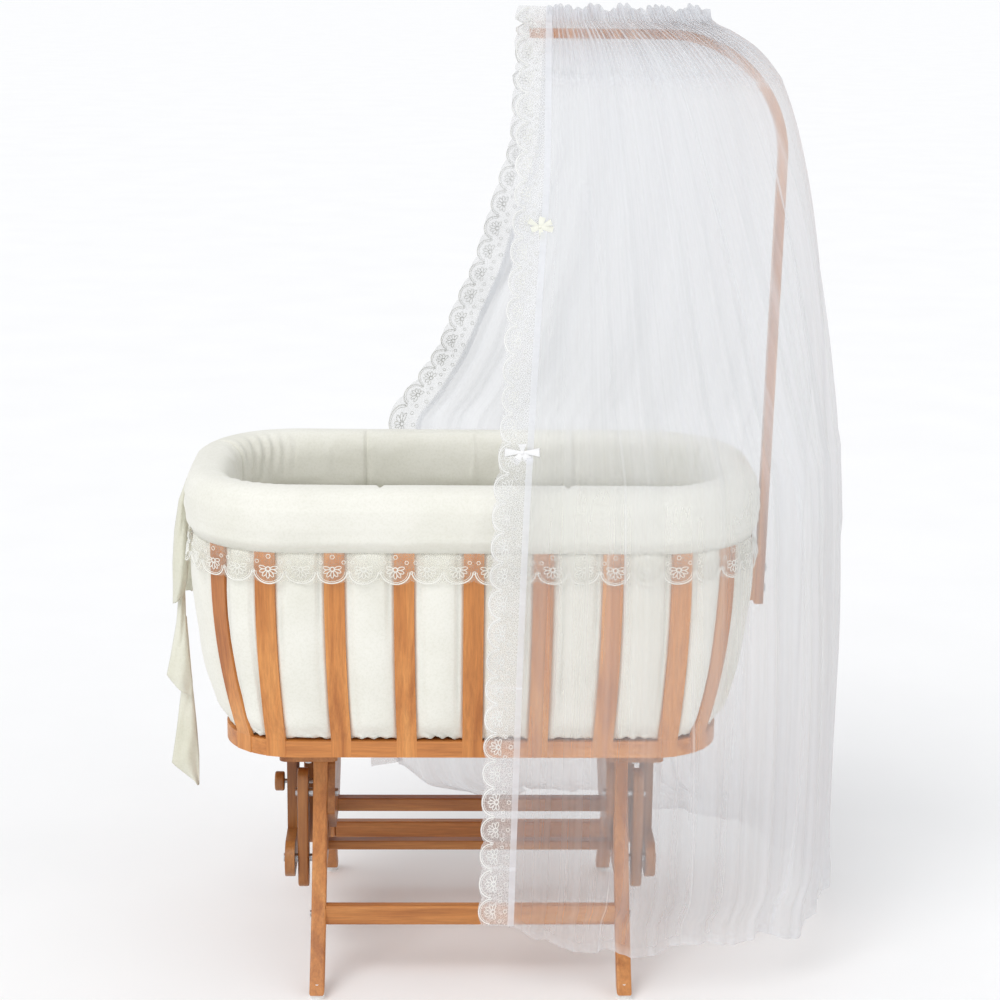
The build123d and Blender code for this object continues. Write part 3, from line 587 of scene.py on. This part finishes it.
def build_bumper():
    section = bumper_section()
    shape = (rim_x, rim_y, rim_corner)
    total = perimeter(shape)
    seams = [total * share for share in BUMPER_SEAMS]
    points = []
    for x_out, z, free in section:
        inner = smooth(-0.005, -0.045, x_out) if free else 0.0
        for column in range(BUMPER_COLUMNS):
            d = total * column / BUMPER_COLUMNS
            point, out = around(shape, d)
            lift, rise = 0.0, 0.0
            if free:
                facing = (z - bumper_low.z) / (bumper_high.z - bumper_low.z)
                lift += 0.0022 * ripple(d * 6, z * 22, 11) + 0.0009 * ripple(d * 22, z * 60, 12)
                rise += 0.0020 * ripple(d * 5, x_out * 30, 13)
                lift += 0.0010 * math.sin(z * 260 + 2.5 * ripple(d * 3, 0, 14)) * (1 - inner)
                inner_crease = max(0.0, 1 - abs(ripple(d * 17, z * 9, 17)) / 0.14) * inner
                outer_crease = max(0.0, 1 - abs(ripple(d * 5, z * 34 + d * 3, 18)) / 0.10) * (1 - inner)
                patch = smooth(0.0, 0.4, ripple(d * 7, z * 12, 19))
                lift -= patch * (0.0030 * inner_crease + 0.0016 * outer_crease)
                nearest = min(abs((d - s + total / 2) % total - total / 2) for s in seams)
                seam = math.exp(-(nearest / 0.0035) ** 2)
                pucker = math.exp(-(nearest / 0.035) ** 2)
                lift += inner * (seam * 0.006 - pucker * 0.0022 * ripple(nearest * 60, z * 55 + d, 15))
                rise -= 0.0045 * seam * smooth(0.6, 1.0, facing) * inner
                corner = abs(out.x * out.y) * 2
                fold = math.sin(d * 210 + 4 * ripple(d * 9, z * 12, 16))
                lift += inner * corner * 0.0026 * fold * smooth(0.25, 0.8, facing)
            position = point + out * (x_out + lift)
            points.append((position.x, position.y, z + rise))
    faces = grid_faces(BUMPER_COLUMNS, len(section), True, True)
    bumper = mesh_object("bumper_roll", points, faces, cotton)
    finish_piece(bumper, "basket", "ivory_cotton", "bumper")


build_bumper()


# ==== Mattress: a crowned pad with a rounded edge

MATTRESS_CORNER = 0.105
MATTRESS_EDGE_INSET = 0.016
MATTRESS_CROWN = 0.004


def build_mattress():
    half_x, half_y = mattress_high.x, mattress_high.y
    low, high = mattress_low.z, mattress_high.z
    middle, thickness = (low + high) / 2, high - low
    columns, side_rows = 300, 22
    edge_share = 0.12
    underside = [(-1, (1 - row / side_rows) ** 1.6) for row in range(side_rows)]
    topside = [(1, (row / (side_rows - 1)) ** 1.6) for row in range(side_rows)]
    points = []
    for side, inward in underside + topside:
        edge = min(inward / edge_share, 1.0) * math.pi / 2
        inset = MATTRESS_EDGE_INSET * (1 - math.sin(edge))
        size = 1 - max(inward - edge_share, 0) / (1 - edge_share) * 0.995
        shape = ((half_x - inset) * size, (half_y - inset) * size, MATTRESS_CORNER * size)
        for column in range(columns):
            point, _ = around(shape, perimeter(shape) * column / columns)
            z = middle + side * thickness / 2 * math.sin(edge)
            if side > 0:
                z += MATTRESS_CROWN * (1 - size) + 0.0022 * ripple(point.x * 9, point.y * 9, 21)
            points.append((point.x, point.y, z))
    rows = 2 * side_rows
    faces = grid_faces(columns, rows, True)
    faces += [tuple(reversed(range(columns))), tuple(range((rows - 1) * columns, rows * columns))]
    mattress = mesh_object("mattress_pad", points, faces, mattress_cotton)
    finish_piece(mattress, "basket", "mattress_cotton", "mattress")


build_mattress()


# ==== Canopy: where its sheet runs

# Height, right end and half depth of the tent, from the hem up to the top of the frill.
TENT = ((0.070, 0.600, 0.281), (0.480, 0.600, 0.274), (0.846, 0.584, 0.257), (1.000, 0.570, 0.199),
        (1.180, 0.548, 0.139), (1.340, 0.519, 0.082), (1.440, 0.488, 0.048), (1.495, 0.446, 0.027),
        (1.528, 0.395, 0.019), (1.538, 0.372, 0.010), (1.575, 0.352, 0.010))
# Height and X of the tulle's two open edges, where the lace begins.
NEAR_EDGE = ((0.070, 0.058), (0.345, 0.064), (0.606, 0.070), (0.827, 0.077), (0.977, 0.086), (1.135, 0.096),
             (1.340, 0.108), (1.570, 0.110))
FAR_EDGE = ((0.142, -0.050), (0.156, -0.105), (0.178, -0.120), (0.215, -0.128), (0.833, -0.094),
            (0.890, -0.058), (0.966, -0.016), (1.051, 0.017), (1.123, 0.046), (1.230, 0.074),
            (1.353, 0.104), (1.570, 0.110))
LACE_WIDTH, LACE_PITCH = 0.050, 0.046
FRILL_BASE, FRILL_TOP = 1.538, 1.566
SEAM_HEIGHT = 1.452
ROD_HEIGHT = 1.519
FLAT_WIDTH, FLAT_DROP = 2.0, 1.5


def tent_plan(z):
    """Plan of the sheet at a height: X of its near and far edge and of its right end, its half depth, its
    corners' radius and the length of one corner."""
    right, half = along_curve(TENT, z)
    near_x, = along_curve(NEAR_EDGE, z)
    far_x, = along_curve(FAR_EDGE, z)
    bend = 0.93 * half
    return near_x, far_x, right, half, bend, bend * math.pi / 2


def tent_point(z, distance):
    """Point and outward direction at a distance along the sheet's plan, from its near edge."""
    near_x, far_x, right, half, bend, quarter = tent_plan(z)
    first, end = right - bend - near_x, 2 * (half - bend)
    d = distance
    if d <= first:
        return Vector((near_x + d, -half)), Vector((0, -1))
    d -= first
    if d <= quarter:
        turn = d / bend - math.pi / 2
        out = Vector((math.cos(turn), math.sin(turn)))
        return Vector((right - bend, -half + bend)) + out * bend, out
    d -= quarter
    if d <= end:
        return Vector((right, -half + bend + d)), Vector((1, 0))
    d -= end
    if d <= quarter:
        turn = d / bend
        out = Vector((math.cos(turn), math.sin(turn)))
        return Vector((right - bend, half - bend)) + out * bend, out
    d -= quarter
    return Vector((right - bend - d, half)), Vector((0, 1))


def tent_length(z):
    near_x, far_x, right, half, bend, quarter = tent_plan(z)
    return (right - bend - near_x) + 2 * quarter + 2 * (half - bend) + (right - bend - far_x)


# Number of folds over the width, and their weight.
FOLD_WAVES = ((9, 1.0), (17, 0.8), (29, 0.55), (47, 0.32), (83, 0.16))
fold_phase = [random.uniform(0, 2 * math.pi) for _ in FOLD_WAVES]
fold_drift = [random.uniform(-1.6, 1.6) for _ in FOLD_WAVES]


def fold(share, z):
    """Signed depth of the hanging folds, about -1 to 1, at a share of the width and a height."""
    value = 0.0
    for (count, weight), phase, drift in zip(FOLD_WAVES, fold_phase, fold_drift):
        value += weight * math.sin(2 * math.pi * count * share + phase + drift * math.sin(2.2 * z + phase))
    value /= 1.9
    return value + 0.35 * ripple(share * 23, z * 1.6, 31)


def gathers(share, z):
    """Tight pleats where the cloth is drawn up on the rod."""
    return math.sin(2 * math.pi * 96 * share + 2.4 * ripple(share * 60, z * 9, 33))


def hem_height(share):
    """Height of the bottom edge, which rises at the back towards the far lace edge."""
    back = smooth(0.60, 0.84, share)
    tip = smooth(0.955, 1.0, share) ** 2
    level = lerp(0.092, 0.142, back) + 0.055 * tip
    level += 0.010 * math.sin(share * 31 + 0.8) + 0.006 * math.sin(share * 73)
    return level + 0.030 * (1 - smooth(0.0, 0.035, share))


def frill_height(share):
    """Height of the frill's wavy top edge."""
    waves = 0.005 * math.sin(share * 61) + 0.004 * math.sin(share * 143 + 1)
    return 1.558 + waves + 0.004 * ripple(share * 40, 0, 35)


def net_sample(share, z):
    """Point on the net at a share of the width and a height, its outward direction and how gathered it is."""
    point, out = tent_point(z, share * tent_length(z))
    down = smooth(1.46, 0.75, z)
    edge_calm = smooth(0.0, 0.03, share) * smooth(0.0, 0.03, 1 - share)
    depth = lerp(0.0025, 0.0125, down) * (0.35 + 0.65 * edge_calm)
    shift = fold(share, z) * depth
    tight = smooth(1.40, 1.50, z)
    shift += gathers(share, z) * 0.0026 * tight
    on_rod = math.exp(-((z - ROD_HEIGHT) / 0.011) ** 2)
    frill = smooth(FRILL_BASE, FRILL_TOP, z)
    shift += frill * (0.006 * gathers(share * 0.37, z) + 0.004 * math.sin(share * 130))
    bumper_room = smooth(0.70, 0.74, z) * smooth(0.90, 0.86, z)
    shift += 0.004 * bumper_room
    seam = math.exp(-((z - SEAM_HEIGHT) / 0.004) ** 2)
    shift += seam * 0.0015
    veil = 0.27 + 0.26 * smooth(0.78, 0.98, z) * smooth(0.0, 0.10, share)
    veil = max(veil, 0.56 * smooth(0.19, 0.27, share))
    veil += on_rod * (0.60 * max(gathers(share * 0.83, 0.0), 0) - 0.22)
    gathered = veil + 0.18 * tight + 0.30 * frill + 0.35 * seam
    steep = abs(fold(share + 0.0015, z) - fold(share - 0.0015, z))
    gathered += 0.11 * min(steep * 1.3, 1.0) * lerp(0.4, 1.0, down)
    gathered += 0.08 * max(fold(share, z), 0)
    position = point + out * shift
    return Vector((position.x, position.y, z)), out, min(gathered, 1.0)


def build_net():
    columns, rows = 940, 104
    points, gathered, across = [], [], []
    for row in range(rows):
        level = row / (rows - 1)
        for column in range(columns):
            share = column / (columns - 1)
            z = lerp(frill_height(share), hem_height(share), level ** 1.25)
            point, _, drawn = net_sample(share, z)
            hem = smooth(0.018, 0.0, z - hem_height(share))
            points.append(point)
            gathered.append(min(drawn + 0.30 * hem, 1.0))
            across.append(share * FLAT_WIDTH)
    net = mesh_object("canopy_tulle", points, grid_faces(columns, rows), tulle)
    float_attribute(net, "gathered", gathered)
    float_attribute(net, "along", across)
    finish_piece(net, "basket", "tulle", "canopy_net")
    return net


net = build_net()


# ==== Lace: scalloped net strips with raised embroidery

def strip_mesh(name, place, length, width, material, columns, rows, edge=None, gathered=0.5):
    """A strip of net laid by place(distance, across); edge(distance) trims its outer side."""
    stations = [length * column / (columns - 1) for column in range(columns)]
    points = [place(d, width * (edge(d) if edge else 1.0) * row / (rows - 1)) for row in range(rows)
              for d in stations]
    strip = mesh_object(name, points, grid_faces(columns, rows), material)
    float_attribute(strip, "gathered", [gathered] * len(points))
    float_attribute(strip, "along", stations * rows)
    return strip


def scallop(pitch):
    """Trim of a scalloped edge: one arc for each pitch, a seventh of the width deep."""
    return lambda d: 0.86 + 0.14 * abs(math.sin(math.pi * d / pitch)) ** 0.6


def motif_shapes(pitch, width):
    """One embroidered fan: petals, rings and arcs, each a thread line of (points, thickness)."""
    shapes = []
    centre = (pitch * 0.5, width * 0.52)
    for petal in range(7):
        angle = math.radians(-12 + petal * 34)
        reach = pitch * 0.30
        loop = []
        for step in range(10):
            t = step / 9 * 2 * math.pi
            along = reach * (0.62 - 0.38 * math.cos(t))
            side = reach * 0.17 * math.sin(t)
            loop.append((centre[0] + along * math.cos(angle) - side * math.sin(angle),
                         centre[1] + along * math.sin(angle) + side * math.cos(angle)))
        shapes.append((loop, 0.0007))
    heart = [(centre[0] + pitch * 0.07 * math.cos(t * math.pi / 4),
              centre[1] + pitch * 0.07 * math.sin(t * math.pi / 4)) for t in range(9)]
    shapes.append((heart, 0.0009))
    for radius, thickness in ((0.47, 0.0010), (0.40, 0.0005)):
        arc = [(pitch * (0.5 - radius * math.cos(math.pi * t / 14)),
                width * (0.60 + (radius * 0.80) * math.sin(math.pi * t / 14))) for t in range(15)]
        shapes.append((arc, thickness))
    for x, y, r in ((0.14, 0.30, 0.06), (0.86, 0.30, 0.06), (0.5, 0.13, 0.07), (0.02, 0.62, 0.05)):
        dot = [(pitch * (x + r * math.cos(t * math.pi / 3)),
                width * y + pitch * r * math.sin(t * math.pi / 3)) for t in range(7)]
        shapes.append((dot, 0.0006))
    return shapes


def embroidery(name, place, lift, length, pitch, width, material):
    """Raised thread laid on a strip: place and lift give a point and its outward direction."""
    shapes = motif_shapes(pitch, width)
    points, faces = [], []
    count = int(length / pitch)
    for repeat in range(count):
        base = (repeat + 0.5 * (length / pitch - count)) * pitch
        for line, thickness in shapes:
            first = len(points)
            for index, (x, y) in enumerate(line):
                before, after = line[max(index - 1, 0)], line[min(index + 1, len(line) - 1)]
                heading = Vector((after[0] - before[0], after[1] - before[1]))
                if heading.length < 1e-7:
                    heading = Vector((1, 0))
                heading.normalize()
                side = Vector((-heading.y, heading.x)) * thickness
                d = base + x
                out = lift(d, y)
                for offset, height in ((-1, 0.0002), (0, 0.0011), (1, 0.0002)):
                    where = place(d + side.x * offset, y + side.y * offset)
                    points.append(where + out * height)
            for index in range(len(line) - 1):
                a = first + index * 3
                faces.append((a, a + 1, a + 4, a + 3))
                faces.append((a + 1, a + 2, a + 5, a + 4))
    return mesh_object(name, points, faces, material)


def edge_curve(near):
    """The lace's line down one open edge: its share of the width, and heights with their running length."""
    share = 0.0 if near else 1.0
    high, low = 1.560, hem_height(share) + 0.004
    steps = 160
    heights = [lerp(high, low, step / steps) for step in range(steps + 1)]
    lengths, total, last = [], 0.0, None
    for z in heights:
        point, _, _ = net_sample(share, z)
        if last is not None:
            total += (point - last).length
        lengths.append(total)
        last = point
    return share, heights, lengths


def lace_edge(name, near):
    """Lace, its thread and its ribbon down one open edge; gives the functions that place things on it."""
    share, heights, lengths = edge_curve(near)
    total = lengths[-1]

    def height_at(d):
        d = min(max(d, 0.0), total)
        for index in range(1, len(lengths)):
            if d <= lengths[index]:
                t = (d - lengths[index - 1]) / (lengths[index] - lengths[index - 1])
                return lerp(heights[index - 1], heights[index], t)
        return heights[-1]

    def place(d, across):
        z = height_at(d)
        point, out, _ = net_sample(share, z)
        before, _, _ = net_sample(share, z + 0.004)
        after, _, _ = net_sample(share, z - 0.004)
        down = (after - before).normalized()
        normal = Vector((out.x, out.y, 0))
        left = normal.cross(down)
        if left.x > 0:
            left = -left
        wave = 0.005 * math.sin(d * 44 + across * 30) * smooth(0.0, LACE_WIDTH, across)
        return point + left * across + normal * (wave + 0.001)

    def lift(d, across):
        _, out, _ = net_sample(share, height_at(d))
        return Vector((out.x, out.y, 0))

    strip = strip_mesh(name, place, total, LACE_WIDTH, lace_net, 420, 8, edge=scallop(LACE_PITCH))
    finish_piece(strip, "basket", "lace")
    work = embroidery(name + "_thread", place, lift, total, LACE_PITCH, LACE_WIDTH, thread_white)
    finish_piece(work, "basket", "lace")
    tape_width = 0.010

    def tape_place(d, across):
        point = place(d, 0.0)
        inward = point - place(d, 0.004)
        inward.normalize()
        return point + inward * (across - 0.002) + lift(d, 0) * 0.0016

    tape = strip_mesh(name + "_ribbon", tape_place, total, tape_width, hem_tape, 260, 3, gathered=0.6)
    finish_piece(tape, "basket", "tulle")
    return place, lift


near_place, near_lift = lace_edge("lace_near_edge", True)
lace_edge("lace_far_edge", False)


# ==== Lace trim below the bumper

def build_rim_lace():
    shape = (rim_x, rim_y, rim_corner)
    total = perimeter(shape)
    width, scallops = 0.050, 50
    top = bumper_low.z + 0.006

    def place(d, across):
        point, out = around(shape, d)
        sway = 0.0030 * math.sin(d * 95) * smooth(0.0, width, across)
        position = point + out * (0.0075 + 0.003 * across / width + sway)
        return Vector((position.x, position.y, top - across))

    def lift(d, across):
        _, out = around(shape, d)
        return Vector((out.x, out.y, 0))

    pitch = total / scallops
    strip = strip_mesh("rim_lace", place, total, width, lace_ivory, 900, 8, edge=scallop(pitch),
                       gathered=0.25)
    finish_piece(strip, "basket", "lace", "lace_trim")
    work = embroidery("rim_lace_thread", place, lift, total, pitch, width, thread_ivory)
    finish_piece(work, "basket", "lace")


build_rim_lace()


# ==== Sash at the left end: a tied loop and two folded tails

# Each panel's name, its left and right edge as rows of (share down, x, y, z), how far its middle hangs
# out, and its flat size.
SASH_PANELS = (
    ("sash_loop",
     ((0, -.466, -.010, .802), (.2, -.480, -.016, .765), (.4, -.488, -.018, .715), (.6, -.492, -.018, .660),
      (.8, -.4925, -.016, .620), (1, -.494, -.013, .587)),
     ((0, -.4655, -.006, .800), (.2, -.4660, -.020, .762), (.4, -.4665, -.026, .716),
      (.6, -.4670, -.030, .672), (.8, -.4680, -.026, .636), (1, -.4760, -.016, .603)),
     0.012, (0.04, 0.25)),
    ("sash_under",
     ((0, -.4655, .014, .790), (.4, -.476, .012, .70), (.7, -.478, .010, .64), (1, -.480, .004, .604)),
     ((0, -.4650, .004, .790), (.4, -.4520, .000, .70), (.7, -.4500, -.002, .66), (1, -.463, -.004, .606)),
     -0.006, (0.03, 0.21)),
    ("sash_tail_front",
     ((0, -.484, -.004, .612), (.25, -.489, -.010, .555), (.6, -.500, -.014, .495), (.8, -.507, -.013, .464),
      (1, -.500, -.011, .452)),
     ((0, -.475, -.002, .612), (.25, -.473, -.012, .550), (.6, -.467, -.020, .492), (.8, -.464, -.018, .452),
      (1, -.465, -.016, .425)),
     0.009, (0.03, 0.19)),
    ("sash_tail_back",
     ((0, -.482, .008, .560), (.3, -.482, .010, .460), (.6, -.494, .006, .365), (.85, -.504, .002, .302),
      (1, -.462, .000, .267)),
     ((0, -.474, .006, .560), (.3, -.466, .004, .440), (.6, -.460, .000, .360), (.85, -.457, -.004, .318),
      (1, -.458, -.002, .265)),
     0.006, (0.03, 0.30)),
)
SASH_THICKNESS = 0.0012
SASH_WRINKLE = 0.0015


def apply_modifiers(obj):
    depsgraph = bpy.context.evaluated_depsgraph_get()
    mesh = bpy.data.meshes.new_from_object(obj.evaluated_get(depsgraph))
    obj.modifiers.clear()
    obj.data = mesh


def sash_panel(name, left, right, depth):
    """Hanging cloth between a left and a right edge, its middle standing out by a depth."""
    columns, rows = 14, 40
    points = []
    for row in range(rows):
        share = row / (rows - 1)
        a, b = Vector(along_table(left, share)), Vector(along_table(right, share))
        for column in range(columns):
            t = column / (columns - 1)
            point = a.lerp(b, t)
            point.y -= depth * math.sin(math.pi * t)
            point.y += SASH_WRINKLE * (math.sin(9 * t + 7 * share) + ripple(t * 5, share * 9, 41))
            points.append(point)
    panel = mesh_object(name, points, grid_faces(columns, rows), sash_cotton)
    thick = panel.modifiers.new("thickness", "SOLIDIFY")
    thick.thickness = SASH_THICKNESS
    thick.offset = 0
    finish_piece(panel, "basket", "cream_ribbon")
    apply_modifiers(panel)
    return panel


def build_sash():
    for name, left, right, depth, flat in SASH_PANELS:
        panel = sash_panel(name, left, right, depth)
        if name == "sash_loop":
            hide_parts("sash")


build_sash()


# ==== Bows on the near lace edge

def bow(name, centre, normal, size, material, turns):
    """A small tied bow: lobes and tails around a knot, each turn an (angle, reach, whether it is looped)."""
    normal = normal.normalized()
    side = Vector((normal.y, -normal.x, 0)).normalized() * -1
    up = normal.cross(side).normalized()
    if up.z < 0:
        up = -up
    points, faces = [], []
    width = size * 0.48
    for angle, reach, looped in turns:
        heading = side * math.cos(math.radians(angle)) + up * math.sin(math.radians(angle))
        across = heading.cross(normal)
        first = len(points)
        steps = 15
        for step in range(steps):
            t = step / (steps - 1)
            if looped:
                out = reach * size * math.sin(math.pi * t) ** 0.8
                height = size * (0.04 + 0.16 * math.sin(math.pi * t) * (1 if t < 0.5 else -0.15))
            else:
                out = reach * size * t
                height = size * 0.05 * (1 + math.sin(5 * t))
            wide = width * (0.30 + 0.70 * math.sin(math.pi * min(t * (1 if looped else 0.6), 1)))
            for offset in (-1, -0.4, 0.4, 1):
                points.append(centre + heading * out + across * wide * offset * 0.5
                              + normal * (height + 0.02 * size * (1 - offset * offset)))
        for step in range(steps - 1):
            for column in range(3):
                a = first + step * 4 + column
                faces.append((a, a + 1, a + 5, a + 4))
    first = len(points)
    knot_columns, knot_rows = 10, 7
    for row in range(knot_rows):
        tilt = math.pi * row / (knot_rows - 1) - math.pi / 2
        for column in range(knot_columns):
            turn = 2 * math.pi * column / knot_columns
            ring = size * 0.10 * math.cos(tilt)
            points.append(centre + side * ring * math.cos(turn) * 1.2 + up * ring * math.sin(turn)
                          + normal * (size * 0.10 + size * 0.09 * math.sin(tilt)))
    for row in range(knot_rows - 1):
        for column in range(knot_columns):
            a = first + row * knot_columns + column
            b = first + row * knot_columns + (column + 1) % knot_columns
            faces.append((a, b, b + knot_columns, a + knot_columns))
    finish_piece(mesh_object(name, points, faces, material), "basket", "cream_ribbon")


def on_near_edge(z, across):
    """Point on the near lace at a height, counted from the ribbon outwards, and its outward direction."""
    _, heights, lengths = edge_curve(True)
    length = next((length for height, length in zip(heights, lengths) if height <= z), lengths[-1])
    return near_place(length, across), near_lift(length, across)


spot, outward = on_near_edge(1.232, 0.004)
bow("canopy_bow", spot + outward * 0.002, outward, 0.020, satin_cream,
    ((150, 1.0, True), (25, 1.0, True), (-10, 1.05, False), (-75, 1.0, False), (75, 0.8, False),
     (200, 0.7, False)))
spot, outward = on_near_edge(0.905, 0.010)
bow("canopy_rosette", spot + outward * 0.003, outward, 0.027, satin_white,
    ((178, 1.0, True), (2, 1.0, True), (-50, 0.8, False), (-125, 0.8, False), (90, 0.5, True)))


# ==== Stage, light and camera

AMBIENT = 0.74
# The suns: name, energy, spread in degrees and direction of travel.
SUNS = (("key", 1.15, 35, (0.55, 0.75, -1.0)), ("fill", 0.30, 60, (-0.9, 0.7, -0.6)))
FLOOR_REACH = 90.0
CAMERA_PLACE = (-0.0565, -3.7260, 1.6970)
CAMERA_YAW, CAMERA_TILT, CAMERA_ROLL = 0.02736, 0.24545, 0.01140
CAMERA_LENS = 83.98


def build_stage():
    look = Look("pale_floor")
    tone = look.ramp(look.noise(3.0, 3.0), (0.3, (0.95, 0.95, 0.95)), (0.7, (0.97, 0.97, 0.97)))
    look.surface(Base_Color=tone, Roughness=0.9, Specular_IOR_Level=0.1)
    corners = [(x * FLOOR_REACH, y * FLOOR_REACH, 0) for x, y in ((-1, -1), (1, -1), (1, 1), (-1, 1))]
    mesh_object("floor", corners, [(0, 1, 2, 3)], look.material, smooth_faces=False)


def build_light():
    """Even light from all round, with a large soft sun from the upper left front for shape."""
    world = bpy.data.worlds.new("studio")
    world.use_nodes = True
    nodes, links = world.node_tree.nodes, world.node_tree.links
    around_light = nodes["Background"]
    around_light.inputs["Color"].default_value = (0.97, 0.98, 1.0, 1)
    around_light.inputs["Strength"].default_value = AMBIENT
    seen = nodes.new("ShaderNodeBackground")
    seen.inputs["Color"].default_value = (1, 1, 1, 1)
    mix = nodes.new("ShaderNodeMixShader")
    links.new(nodes.new("ShaderNodeLightPath").outputs["Is Camera Ray"], mix.inputs[0])
    links.new(around_light.outputs[0], mix.inputs[1])
    links.new(seen.outputs[0], mix.inputs[2])
    links.new(mix.outputs[0], nodes["World Output"].inputs["Surface"])
    bpy.context.scene.world = world
    for name, energy, spread, heading in SUNS:
        data = bpy.data.lights.new(name, "SUN")
        data.energy = energy
        data.angle = math.radians(spread)
        light = bpy.data.objects.new(name, data)
        bpy.context.collection.objects.link(light)
        light.rotation_euler = Vector(heading).to_track_quat("-Z", "Y").to_euler()


def build_camera():
    yaw, tilt, roll = CAMERA_YAW, CAMERA_TILT, CAMERA_ROLL
    forward = Vector((math.sin(yaw) * math.cos(tilt), math.cos(yaw) * math.cos(tilt), -math.sin(tilt)))
    right = Vector((math.cos(yaw), -math.sin(yaw), 0))
    up = right.cross(forward)
    turned_right = right * math.cos(roll) + up * math.sin(roll)
    turned_up = up * math.cos(roll) - right * math.sin(roll)
    data = bpy.data.cameras.new("view")
    data.sensor_width = 36.0
    data.lens = CAMERA_LENS
    camera = bpy.data.objects.new("view", data)
    bpy.context.collection.objects.link(camera)
    facing = Matrix((turned_right, turned_up, -forward)).transposed().to_4x4()
    camera.matrix_world = Matrix.Translation(CAMERA_PLACE) @ facing
    bpy.context.scene.camera = camera


build_stage()
build_light()
build_camera()
bpy.context.scene.view_settings.view_transform = "Standard"
